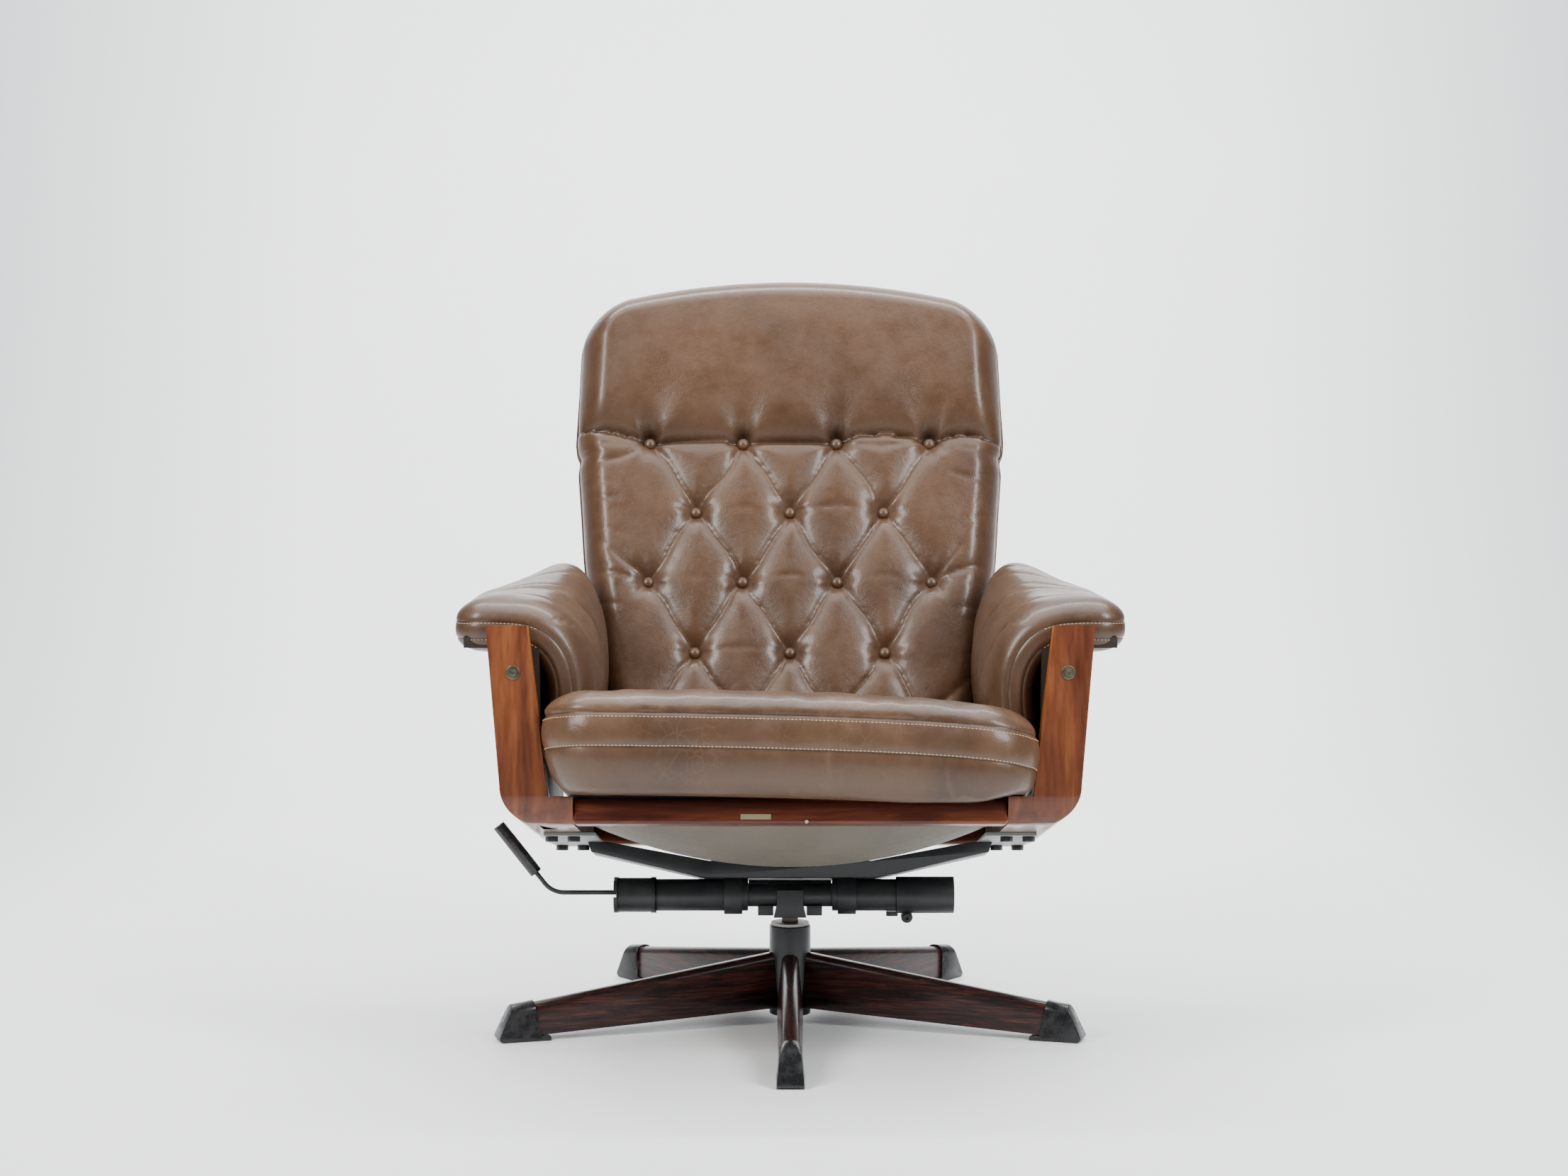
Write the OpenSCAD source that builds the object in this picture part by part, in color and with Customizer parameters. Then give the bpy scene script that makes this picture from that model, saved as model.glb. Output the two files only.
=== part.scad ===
// Swivel recliner armchair: a pressed five-leg base, a friction-locked tilt mechanism, a
// wooden frame with front posts, and buttoned leather upholstery.
// Origin on the floor at the swivel axis, +Z up. The sitter faces -Y. Millimetres.

/* [Base] */
// Radius from the swivel axis to the tip of a foot
base_r = 365; // [310:1:440]
// Height of a leg's top edge at the hub
leg_rise = 87; // [75:1:105]
// Height of a leg's top edge at its outer end
leg_drop = 43; // [40:1:50]
// Depth of a leg at the hub
leg_deep_hub = 65; // [54:1:70]
// Depth of a leg at its outer end
leg_deep_foot = 37; // [30:1:37]
// Width of a leg across its rounded top
leg_top_w = 21; // [18:1:26]
// Width of a leg 70 mm below its top, where its sides have flared
leg_low_w = 34; // [28:1:41]
// Radius of the two pressed edges along a leg's top
leg_edge_r = 9; // [5:0.5:9]
// Sheet thickness of a leg
leg_sheet = 2; // [1.5:0.1:3]
// Length of a foot cap's sole
cap_sole = 62; // [50:1:75]
// Thickness of a foot cap's wall
cap_wall = 2; // [1.5:0.1:3]

/* [Hub] */
// Outside diameter of the hub tube
hub_d = 50; // [42:1:60]
// Wall of the hub tube
hub_wall = 3; // [2:0.5:4]
// Height of the hub tube's lower end above the floor
hub_z0 = 11; // [5:1:16]
// Height of the hub tube's upper end
hub_z1 = 120; // [110:1:122]
// Diameter of the spindle
spindle_d = 20; // [16.5:0.5:24]
// Length of each nylon bush in the hub
bush_l = 28; // [20:1:34]
// Radial clearance of every turning fit
run_gap = 0.05; // [0.02:0.01:0.1]

/* [Tilt mechanism] */
// Height of the tilt axis
tilt_h = 156; // [150:1:190]
// Rake of the seat frame at rest, rear lower, degrees
rake = 12; // [8:0.5:15]
// Diameter of the fixed inner tube
inner_d = 28.5; // [24:0.5:31]
// Wall of the inner tube
inner_wall = 3; // [2:0.5:4]
// Diameter of the two turning outer tubes
outer_d = 38.7; // [36:0.1:46]
// Wall of an outer tube
outer_wall = 2.6; // [2:0.1:3]
// Distance from the middle to the inner end of an outer tube
tube_gap = 51; // [46:1:60]
// Distance from the middle to the end of the left tube
left_l = 171; // [150:1:185]
// Distance from the middle to the end of the right tube
right_l = 150; // [135:1:165]
// Length of the toothed end collar
collar_l = 38; // [30:1:42]
// Diameter of the toothed end collar
collar_d = 43.5; // [43:0.5:48]
// Length of the right end sleeve
sleeve_l = 70; // [55:1:80]
// Overlap of the right sleeve over its tube
sleeve_lap = 21; // [15:1:25]
// Diameter of the right end sleeve
sleeve_d = 44.5; // [43:0.5:48]
// Width of a strap under a tube
strap_w = 22; // [16:1:26]
// Thickness of a strap
strap_t = 4; // [3:0.5:5]
// Diameter of the torsion bar
bar_d = 10; // [8:0.5:12]

/* [Cross beam] */
// Front to back width of the beam
beam_d = 84; // [70:1:100]
// Sheet thickness of the beam
beam_t = 3; // [2:0.5:4]
// Height of the beam's flanges at the middle
beam_h = 20; // [14:1:22]
// Depth of the lip turned down behind the beam's middle
beam_lip = 7; // [4:0.5:9]
// Half length of the beam's flat middle
beam_flat = 103; // [90:1:115]
// Half width at which the beam turns up to its plates
beam_reach = 240; // [215:1:250]
// Height of that turn above the tilt axis
beam_turn = 50; // [44:1:52]
// Thickness of the plates under the side rails
plate_t = 4; // [3:0.5:6]
// Length of those plates front to back
plate_l = 220; // [160:1:240]

/* [Wooden frame] */
// Height of the frame's underside above the tilt axis, square to the seat
wood_w = 66; // [62:1:80]
// Half width between the side rails' inner faces
rail_in = 244; // [236:1:290]
// Thickness of the rails
rail_t = 30; // [24:1:36]
// Front to back width of the front and rear rails
rail_d = 44; // [34:1:50]
// Half width over the posts at their top
post_out = 342; // [334:1:400]
// Width of a post at its top
post_w = 46; // [40:1:55]
// Outward lean of a post's outer face, degrees
post_flare = 5; // [2:0.5:7]
// Outward lean of a post's inner face, degrees
post_flare_in = 7; // [4:0.5:8]
// Front to back depth of a post
post_d = 34; // [28:1:36]
// Length of a post above its corner
post_l = 190; // [170:1:215]
// Backward lean of a post, degrees
post_lean = 5; // [2:0.5:8]
// Radius of the frame's lower front corner
corner_r = 36; // [36:1:44]
// Radius of the frame's lower outer edge
edge_r = 42; // [30:1:46]
// Distance of the frame's front from the tilt axis
frame_front = 327; // [280:1:340]
// Distance of the frame's rear from the tilt axis
frame_rear = 120; // [110:1:140]

/* [Seat] */
// Width of the seat cushion
seat_w = 544; // [460:1:552]
// Distance of the cushion's front from the tilt axis
seat_front = 403; // [360:1:410]
// Thickness of the seat cushion
seat_t = 106; // [90:1:108]
// Drop of the seat pan's belly below the front rail
pan_sag = 40; // [30:1:44]
// Radius of the seat pan's curve from side to side
pan_round = 580; // [500:10:900]
// Thickness of the seat pan
pan_t = 3; // [2:0.5:4]
// Thickness of the rubber webbing
web_t = 2; // [1.5:0.5:2.5]

/* [Back] */
// Lean of the back from the vertical, degrees
lean = 22; // [18:0.5:24]
// Depth of the back's front face behind the swivel axis, at seat height
back_y = 78; // [72:1:84]
// Height of that point above the floor
back_z = 400; // [398:1:440]
// Height of the back above that point, along its slope
back_h = 555; // [460:1:670]
// Radius of the back's upper corners
back_corner_r = 62; // [40:1:75]
// Radius of the back's crowned top edge
back_crown_r = 900; // [700:10:1400]
// Largest half width of the back
back_half = 270; // [262:1:278]
// Thickness of the buttoned cushion
back_pad = 62; // [50:1:66]
// Thickness of the plywood back shell
back_shell_t = 20; // [16:1:22]
// Thickness of the rear cover
back_cover_t = 5; // [3:0.5:8]
// Spacing of the buttons along a row
button_pitch = 118; // [96:1:122]
// Spacing of the rows of buttons
button_row = 92; // [76:1:100]
// Diameter of a button
button_d = 14; // [12:0.5:20]

/* [Arms] */
// Half width over the arm pads
arm_out = 382; // [375:1:440]
// Height of the top of an arm pad
arm_top = 535; // [525:1:545]
// Thickness of an arm pad
arm_pad_t = 61; // [52:1:64]
// Half width at the inner side of an arm's drop panel
arm_in = 224; // [206:1:234]
// Thickness of an arm's vertical board
arm_board_t = 15; // [12:1:18]
// Diameter of an arm bolt
arm_bolt_d = 8; // [6:0.5:10]

/* [Lever] */
// Diameter of the lever rod
rod_d = 5.6; // [5:0.1:7]
// Height of the rod above the tilt axis
rod_up = 3; // [2:0.5:4]
// Length of the grip
grip_l = 74; // [60:1:90]
// Width of the grip
grip_w = 16; // [13:0.5:20]
// Rise of the grip from the horizontal, degrees
grip_rise = 52; // [40:1:60]

/* [Hidden] */
$fn = 64;
fit = 0.3;        // gap between pieces that only lie next to each other
slack = 400;      // reach of the solids that cut others
leg_angle = 72;
leg_end = base_r - 34;
leg_slope = atan((leg_rise - leg_drop) / (leg_end - hub_d / 2));
hub_bore = hub_d / 2 - hub_wall;
spindle_r = spindle_d / 2;
thrust_z = hub_z0 + 8;
flange_t = 3;
clip_t = 1.5;
inner_r = inner_d / 2;
outer_r = outer_d / 2;
outer_bore = outer_r - outer_wall;
bar_r = bar_d / 2;
yoke_w = 32;
yoke_t = 4;
yoke_z0 = tilt_h - inner_r - 11;
strap_x = tube_gap + 7;
beam_w0 = outer_r + run_gap;
plate_w = wood_w - plate_t;
plate_x0 = beam_reach - 12;
plate_x1 = plate_x0 + 60;
plate_v0 = -165;
beam_end = plate_x0 + 16;
rail_top = wood_w + rail_t;
post_turn = rake - post_lean;
corner = [-frame_front + corner_r, wood_w + corner_r];
corner_y = corner[0] * cos(rake) + corner[1] * sin(rake);
corner_z = tilt_h - corner[0] * sin(rake) + corner[1] * cos(rake);
post_top_w = corner[1] + post_l * cos(post_turn);
rail_front = frame_front - 11;
pan_v0 = -rail_front + rail_d + 0.2;
pan_v1 = frame_rear - rail_d - 0.2;
pan_low = wood_w - pan_sag;
pan_flat = beam_w0 + beam_h + 2;
pan_belly = (pan_v0 - beam_d / 2) / 2;
seat_bottom = rail_top + web_t + 1;
seat_top = seat_bottom + seat_t;
back_low = -50;
disc_y = back_pad + fit + back_shell_t - 3.5;
frame_low = -132;
arm_mid_z = arm_top - arm_pad_t / 2;
arm_board_x = post_out - post_w - 12;
arm_shelf_t = 12;
arm_shelf_z = arm_top - 43;
arm_bolt_x = post_out - 31;
arm_bolt_z = arm_top - 79;
arm_rear_y = 205;
washer_t = 1.2;
lever_x = -left_l - collar_l;
rod_bend_x = lever_x - 66;
rod_bend_r = 30;

// A point of the chair's side view (y, z) in the raked frame (along the seat, square to it)
function rk(y, z) = [
    y * cos(rake) - (z - tilt_h) * sin(rake),
    y * sin(rake) + (z - tilt_h) * cos(rake)
];

// Depth of a post's front face at height z
function post_y(z) = corner_y - corner_r / cos(post_lean) + (z - corner_z) * tan(post_lean);

// Half width of a post's outer and inner face at height w in the raked frame
function post_x(w) = post_out - (post_top_w - w) * tan(post_flare);
function post_x_in(w) = post_out - post_w - (post_top_w - w) * tan(post_flare_in);

// The seat frame's own axes: X across, Y along the seat, Z square to it, from the tilt axis
module raked() { translate([0, 0, tilt_h]) rotate([-rake, 0, 0]) children(); }

// The back's own axes: X across, Y through its thickness, Z up its slope
module on_back() { translate([0, back_y, back_z]) rotate([-lean, 0, 0]) children(); }

// A profile drawn in (Y, Z), extruded along X from x0 to x1
module along_x(x0, x1) {
    translate([x0, 0, 0]) rotate([90, 0, 90]) linear_extrude(x1 - x0) children();
}

// A profile drawn in (X, Z), extruded along Y from y0 to y1
module along_y(y0, y1) {
    translate([0, y1, 0]) rotate([90, 0, 0]) linear_extrude(y1 - y0) children();
}

module tube(r_out, r_in, h) {
    difference() {
        cylinder(r = r_out, h = h);
        translate([0, 0, -1]) cylinder(r = r_in, h = h + 2);
    }
}

// A tube on the tilt axis from x0 to x1
module tilt_tube(r_out, r_in, x0, x1) {
    translate([x0, 0, tilt_h]) rotate([0, 90, 0]) tube(r_out, r_in, x1 - x0);
}

module both_sides() {
    children();
    mirror([1, 0, 0]) children();
}

// A rectangle from p to q with round corners
module round_rect(p, q, r) {
    translate([p[0] + r, p[1]]) square([q[0] - p[0] - 2 * r, q[1] - p[1]]);
    translate([p[0], p[1] + r]) square([q[0] - p[0], q[1] - p[1] - 2 * r]);
    for (x = [p[0] + r, q[0] - r], y = [p[1] + r, q[1] - r]) translate([x, y]) circle(r);
}

// ---- base ----

// Section of a leg: rounded on top, its sides flaring downwards, grown outwards by g
module leg_section(g) {
    flare = atan((leg_low_w - leg_top_w) / 140);
    r = leg_edge_r + g;
    c = [leg_top_w / 2 - leg_edge_r, -leg_edge_r];
    arc = [for (k = [0 : 8]) c + r * [cos(flare + k * (90 - flare) / 8), sin(flare + k * (90 - flare) / 8)]];
    right = concat([arc[0] + 80 * [sin(flare), -cos(flare)]], arc);
    left = [for (i = [len(right) - 1 : -1 : 0]) [-right[i][0], right[i][1]]];
    polygon(concat(right, left));
}

// The section run along a leg's sloping top line, out along +X
module leg_prism(g) {
    translate([0, 0, leg_rise + hub_d / 2 * tan(leg_slope)]) rotate([0, leg_slope, 0])
        rotate([90, 0, 90]) linear_extrude(base_r + 60) leg_section(g);
}

module leg_wedge() {
    h = base_r * 1.2;
    linear_extrude(150) polygon([[0, 0], [h, h * tan(leg_angle / 2)], [h, -h * tan(leg_angle / 2)]]);
}

module leg_body(g) {
    z0 = leg_rise - leg_deep_hub;
    z1 = leg_drop - leg_deep_foot;
    intersection() {
        leg_prism(g);
        along_y(-40, 40)
            polygon([[5, z0 - g], [leg_end + g, z1 - g], [leg_end + g, 140], [5, 140]]);
    }
}

module leg() {
    color("#4a2118") difference() {
        intersection() { leg_body(0); leg_wedge(); }
        translate([0, 0, -leg_sheet]) intersection() {
            leg_prism(-leg_sheet);
            translate([0, -40, -50]) cube([leg_end + 60, 80, 200]);
        }
        cylinder(r = hub_d / 2, h = 200);
    }
}

module foot_cap() {
    r0 = base_r - cap_sole;
    color("#1b1b1c") difference() {
        intersection() {
            leg_prism(cap_wall + 0.5);
            along_y(-30, 30) polygon([
                [r0, 0], [base_r - 4, 0], [base_r, 3], [base_r, 6],
                [base_r - 25, 60], [base_r - 41, 60], [r0 + 12, 6], [r0, 5]
            ]);
        }
        leg_body(0.2);
    }
}

module on_leg(i) { rotate([0, 0, -90 + leg_angle * (i - 1)]) children(); }

module hub_tube() {
    color("#202224") translate([0, 0, hub_z0]) tube(hub_d / 2, hub_bore, hub_z1 - hub_z0);
}

module upper_bush() {
    color("#d8d4c8") {
        translate([0, 0, hub_z1 - bush_l]) tube(hub_bore, spindle_r + run_gap, bush_l);
        translate([0, 0, hub_z1]) tube(hub_d / 2 - 2, spindle_r + run_gap, flange_t);
    }
}

module lower_bush() {
    color("#d8d4c8") translate([0, 0, thrust_z + 6])
        tube(hub_bore, spindle_r + run_gap, bush_l);
}

// Steel plug across the hub's foot, on which the spindle turns
module hub_end_plug() {
    color("#8c8f93") translate([0, 0, hub_z0 + 2]) cylinder(r = hub_bore, h = thrust_z - hub_z0 - 2);
}

// ---- swivel ----

module spindle() {
    color("#7a6f63") difference() {
        translate([0, 0, thrust_z]) cylinder(r = spindle_r, h = yoke_z0 - thrust_z);
        translate([0, 0, thrust_z + 3]) tube(spindle_r + 1, spindle_r - 1.5, clip_t);
    }
}

module spindle_clip() {
    color("#9a9da1") translate([0, 0, thrust_z + 3]) tube(spindle_r + 4, spindle_r - 1.5, clip_t);
}

// Pressed cradle that holds the inner tube on the spindle
module yoke() {
    r = inner_r + yoke_t;
    color("#1f2123") difference() {
        union() {
            along_x(-yoke_w / 2, yoke_w / 2) difference() {
                union() {
                    translate([0, tilt_h]) circle(r);
                    translate([-r, yoke_z0]) square([2 * r, tilt_h - yoke_z0]);
                    translate([-r, tilt_h - 0.1]) square([2 * r, 9]);
                }
                translate([-r - 1, tilt_h + 8.9]) square([2 * r + 2, r]);
            }
            along_y(-r, -r + yoke_t)
                polygon([[-20, yoke_z0], [20, yoke_z0], [14, tilt_h], [-14, tilt_h]]);
        }
        translate([-50, 0, tilt_h]) rotate([0, 90, 0]) cylinder(r = inner_r + run_gap, h = 100);
        translate([-50, -inner_r - run_gap, tilt_h]) cube([100, 2 * inner_r + 2 * run_gap, 20]);
    }
}

// Two angle gussets that stiffen the yoke under the inner tube
module yoke_gussets() {
    color("#1f2123") both_sides() difference() {
        along_x(20.2, 39) translate([-13, yoke_z0 + 2]) square([26, 12]);
        translate([0, 0, tilt_h]) rotate([0, 90, 0]) cylinder(r = inner_r + run_gap, h = 100);
        along_x(24, 40) translate([-9, yoke_z0 + 6]) square([18, 20]);
    }
}

module inner_tube() {
    color("#26282a") tilt_tube(inner_r, inner_r - inner_wall, 6 - left_l, right_l);
}

// Plug in the inner tube that holds the torsion bar's far end
module torsion_anchor() {
    color("#8c8f93") tilt_tube(inner_r - inner_wall - run_gap, bar_r + run_gap, -42, -14);
}

// ---- tilting mechanism ----

module outer_tube_left() {
    color("#222426") tilt_tube(outer_r, outer_bore, -left_l, -tube_gap);
}

module outer_tube_right() {
    color("#222426") tilt_tube(outer_r, outer_bore, tube_gap, right_l);
}

module tube_bushes() {
    color("#d8d4c8") for (x = [-left_l + 12, -tube_gap - 20, tube_gap, right_l - 24])
        tilt_tube(outer_bore, inner_r + run_gap, x, x + 20);
}

// Collar on the left tube: a plain ring, a weld ring, and a toothed end
module end_collar() {
    r = collar_d / 2;
    color("#1d1f21") difference() {
        union() {
            tilt_tube(r, outer_r + run_gap, 8 - left_l - 6, 8 - left_l);
            tilt_tube(r - 1, outer_r + run_gap, lever_x, -left_l + 8);
            tilt_tube(r, outer_r - 2, lever_x - 5, lever_x);
        }
        for (a = [20 : 60 : 320]) translate([lever_x - 6, 0, tilt_h]) rotate([a, 0, 0])
            translate([0, -3, outer_r - 4]) cube([5, 6, 12]);
    }
}

// Sleeve on the right tube, with the lug of its clamp screw
module end_sleeve() {
    r = sleeve_d / 2;
    x0 = right_l - sleeve_lap;
    color("#1d1f21") difference() {
        union() {
            tilt_tube(r, outer_r + run_gap, x0, x0 + sleeve_l);
            translate([x0 + 13, 8, tilt_h - r - 4]) rotate([90, 0, 0]) cylinder(r = 7, h = 16);
            translate([x0 - 12, -6, tilt_h - r - 3]) cube([14, 12, 5]);
        }
        translate([x0 + 13, 20, tilt_h - r - 4]) rotate([90, 0, 0]) cylinder(r = 3.1, h = 40);
        translate([x0, 0, tilt_h]) rotate([0, 90, 0]) cylinder(r = outer_r + run_gap, h = sleeve_l + 1);
        translate([x0 - 20, 0, tilt_h]) rotate([0, 90, 0]) cylinder(r = outer_r + run_gap, h = 40);
    }
}

// Plug that grips the torsion bar in the sleeve
module sleeve_plug() {
    color("#8c8f93") tilt_tube(outer_r - run_gap, bar_r + run_gap, right_l + 12, right_l + 40);
}

module clamp_screw() {
    color("#2a2c2e") translate([right_l - sleeve_lap + 13, 0, tilt_h - sleeve_d / 2 - 4])
        rotate([90, 0, 0]) {
            translate([0, 0, -10]) cylinder(r = 3, h = 18);
            translate([0, 0, 8]) difference() {
                cylinder(r = 5, h = 4);
                translate([0, 0, 1]) cylinder(r = 2.5, h = 4, $fn = 6);
            }
        }
}

module torsion_bar() {
    color("#8c8f93") translate([-32, 0, tilt_h]) rotate([0, 90, 0])
        cylinder(r = bar_r, h = right_l + 40 + 32);
}

// Friction discs that the lever squeezes to hold the tilt
module brake_discs() {
    color("#6d7074") for (i = [0 : 3])
        tilt_tube(outer_r - 0.5, 9, lever_x + 8 + 6 * i, lever_x + 12 + 6 * i);
}

module tube_straps() {
    color("#1f2123") both_sides() raked() translate([strap_x, 0, 0]) rotate([0, 90, 0])
        intersection() {
            tube(outer_r + strap_t, outer_r + run_gap, strap_w);
            translate([-beam_w0 + 0.1, -40, 0]) cube([80, 80, strap_w]);
        }
}

// The beam's front outline, from its underside up to h above it
module beam_outline(h) {
    top = plate_w;
    low = [[beam_flat, beam_w0], [beam_reach, beam_turn], [beam_end, top]];
    up = h < 10 ? [[beam_end - h, top], [beam_reach - h, beam_turn + h], [beam_flat, beam_w0 + h]]
                : [[plate_x0 - 8, top], [beam_flat - 5, beam_w0 + h]];
    right = concat(low, up);
    left = [for (i = [len(right) - 1 : -1 : 0]) [-right[i][0], right[i][1]]];
    polygon(concat(right, left));
}

module cross_beam() {
    color("#232527") raked() {
        along_y(-beam_d / 2, beam_d / 2) beam_outline(beam_t);
        for (y = [-beam_d / 2, beam_d / 2 - beam_t]) along_y(y, y + beam_t) beam_outline(beam_h);
        translate([-tube_gap, beam_d / 2 - beam_t, beam_w0 - beam_lip])
            cube([2 * tube_gap, beam_t, beam_lip + 1]);
    }
}

module bracket_plates() {
    color("#232527") both_sides() raked() difference() {
        translate([plate_x0, plate_v0, plate_w]) cube([plate_x1 - plate_x0, plate_l, plate_t]);
        bolt_places() translate([0, 0, -5]) cylinder(r = 4.2, h = 20);
    }
}

module bolt_places() {
    for (x = [plate_x1 - 34, plate_x1 - 8], y = [plate_v0 + 20, plate_v0 + plate_l - 20])
        translate([x, y, plate_w]) children();
}

module bracket_bolts() {
    color("#1a1b1c") both_sides() raked() bolt_places() {
        translate([0, 0, -6]) cylinder(r = 7.5, h = 6, $fn = 6);
        translate([0, 0, -0.1]) cylinder(r = 4, h = plate_t + 18);
    }
}

// ---- wooden frame ----

// Lower front corner of the side view, rounded
module corner_quarter() {
    intersection() {
        translate(corner) circle(corner_r);
        translate([-frame_front - 1, wood_w - 1]) square([corner_r + 1, corner_r + 1]);
    }
}

// Side view of a post, standing on the corner
module post_side() {
    n = [-cos(post_turn), -sin(post_turn)];
    p = [-sin(post_turn), cos(post_turn)];
    a = corner + corner_r * n;
    b = corner + (corner_r - post_d) * n;
    corner_quarter();
    polygon([a, b, b + post_l * p, a + post_l * p]);
    polygon([a, corner + [0, -corner_r + 4], corner, b]);
}

// Front view of the band that the post and rail are shaped in, inner edge at x(w)
module band_front(low_in) {
    c = [post_x(wood_w + edge_r) - edge_r, wood_w + edge_r];
    polygon([
        [low_in ? rail_in : post_x_in(c[1]), c[1]], [c[0] + edge_r, c[1]],
        [post_out, post_top_w], [low_in ? rail_in : post_out - post_w, post_top_w]
    ]);
    intersection() {
        translate(c) circle(edge_r);
        translate([c[0], wood_w - 1]) square([edge_r + 1, edge_r + 1.1]);
    }
    polygon([
        [low_in ? rail_in : post_x_in(wood_w), wood_w], [c[0] + 0.1, wood_w],
        [c[0] + 0.1, c[1] + 0.1], [low_in ? rail_in : post_x_in(c[1]), c[1] + 0.1]
    ]);
}

module side_frame() {
    color("#8a3d1c") difference() {
        raked() {
            intersection() {
                along_x(200, 500) post_side();
                along_y(-frame_front - 60, 0) band_front(false);
            }
            intersection() {
                along_x(200, 500) {
                    intersection() {
                        corner_quarter();
                        translate([-slack, wood_w]) square([slack, rail_t]);
                    }
                    translate([corner[0] - 0.1, wood_w]) square([frame_rear - corner[0], rail_t]);
                }
                along_y(-frame_front - 60, frame_rear) band_front(true);
            }
        }
        arm_bolt_hole();
        raked() bolt_places() cylinder(r = 4 + run_gap, h = plate_t + 19);
    }
}

module side_frame_left() { mirror([1, 0, 0]) side_frame(); }

module side_frame_right() { side_frame(); }

// Rail across the front: flat face, round upper front edge
module front_rail() {
    r = 13;
    x = rail_in - 0.1;
    color("#7d3418") raked() along_x(-x, x) {
        translate([-rail_front, wood_w]) square([rail_d, rail_t - r]);
        translate([-rail_front + r, wood_w]) square([rail_d - r, rail_t]);
        translate([-rail_front + r, rail_top - r]) circle(r);
    }
}

module rear_rail() {
    x = rail_in - 0.1;
    color("#7d3418") raked() translate([-x, frame_rear - rail_d, wood_w]) cube([2 * x, rail_d, rail_t]);
}

// Small blank plate on the front rail
module rail_plate() {
    color("#b9ad8c") raked() translate([-56, -rail_front - 0.7, wood_w + 5]) cube([34, 0.7, 6]);
}

module rail_stud() {
    color("#e8e6df") raked() translate([18, -rail_front, wood_w + 2.5]) rotate([90, 0, 0])
        cylinder(r = 2, h = 1.5);
}

// ---- seat ----

// Height of the pan's underside on the middle line: a deep belly behind the front rail, a
// flat over the beam, and a rise to the rear rail
function pan_w(v) =
    v < pan_belly ? pan_low + (wood_w + 1 - pan_low) * pow((v - pan_belly) / (pan_v0 - pan_belly), 2)
    : v < -beam_d / 2 - 3
    ? pan_low + (pan_flat - pan_low) * (1 - cos(180 * (v - pan_belly) / (-beam_d / 2 - 3 - pan_belly))) / 2
    : v < beam_d / 2 + 3 ? pan_flat
    : pan_flat + (wood_w - pan_flat) * pow((v - beam_d / 2 - 3) / (pan_v1 - beam_d / 2 - 3), 2);

// Moulded pan under the seat, between the rails: that line swung from side to side
module seat_pan() {
    x = rail_in - 0.2;
    axis_w = pan_low + pan_round;
    reach = 40;
    steps = 24;
    line = [for (k = [0 : steps]) pan_v0 + (pan_v1 - pan_v0) * k / steps];
    low = [for (v = line) [axis_w - pan_w(v), v]];
    top = [for (k = [steps : -1 : 0]) low[k] - [pan_t, 0]];
    color("#a59b86") raked() intersection() {
        translate([0, 0, axis_w]) rotate([-90, 0, 0]) rotate([0, 0, 90 - reach])
            rotate_extrude(angle = 2 * reach) polygon(concat(low, top));
        translate([-x, pan_v0, 0]) cube([2 * x, pan_v1 - pan_v0, rail_top]);
    }
}

// Rubber webbing stretched over the side rails
module seat_webbing() {
    x = post_x_in(rail_top) - 6;
    color("#3c3a36") raked() for (i = [0 : 4])
        translate([-x, -rail_front + 12 + 78 * i, rail_top]) cube([2 * x, 48, web_t]);
}

module seat_cushion() {
    v0 = -seat_front;
    v1 = 12;
    x = seat_w / 2;
    color("#7b4f33") raked() intersection() {
        along_x(-x, x) round_rect([v0, seat_bottom], [v1, seat_top], 34);
        translate([0, 0, seat_bottom]) linear_extrude(seat_t)
            round_rect([-x, v0], [x, v1], 40);
    }
}

// ---- back ----

// Front outline of the back, shrunk by g, from height t0 up its slope. The round corners
// run smoothly into the crowned top edge.
module back_outline(g, t0) {
    r = back_corner_r - g;
    foot = 0.84 * back_half - g;
    waist = 0.955 * back_half - g;
    wide = back_half - g;
    side = back_half - 6 - g;
    crown = back_crown_r - g;
    crown_z = back_h - back_crown_r;
    cx = side - r;
    cz = crown_z + sqrt(pow(crown - r, 2) - cx * cx);
    tx = cx * crown / (crown - r);
    tz = crown_z + (cz - crown_z) * crown / (crown - r);
    polygon([
        [-foot, t0], [foot, t0], [waist, 0.33 * back_h], [wide, 0.59 * back_h], [side, cz],
        [-side, cz], [-wide, 0.59 * back_h], [-waist, 0.33 * back_h]
    ]);
    for (s = [-1, 1]) translate([s * cx, cz]) circle(r);
    polygon([[-cx, cz - 1], [cx, cz - 1], [cx, cz], [tx, tz], [-tx, tz], [-cx, cz]]);
    intersection() {
        translate([0, crown_z]) circle(crown, $fn = 180);
        translate([-tx, cz]) square([2 * tx, back_corner_r + 60]);
    }
}

module back_cushion() {
    color("#7b4f33") on_back() difference() {
        along_y(0, back_pad) back_outline(0, back_low);
        button_places() translate([0, 0, -20]) cylinder(r = button_d / 2 + fit, h = 23);
    }
}

// Plywood shell of the back, which stands on the rear rail, bored for the button twine
module back_shell() {
    y0 = back_pad + fit;
    color("#a9855a") difference() {
        on_back() difference() {
            along_y(y0, y0 + back_shell_t) back_outline(8, frame_low);
            button_places() translate([0, 0, back_pad]) cylinder(r = 3, h = 30);
            button_places() translate([0, 0, disc_y - fit]) cylinder(r = 8.5, h = 30);
        }
        raked() translate([-slack, -slack, rail_top - slack]) cube([2 * slack, 2 * slack, slack + fit]);
        back_bolt_at() rotate([0, 90, 0]) cylinder(r = arm_bolt_d / 2 + run_gap, h = 400);
        mirror([1, 0, 0]) back_bolt_at() rotate([0, 90, 0])
            cylinder(r = arm_bolt_d / 2 + run_gap, h = 400);
    }
}

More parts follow.
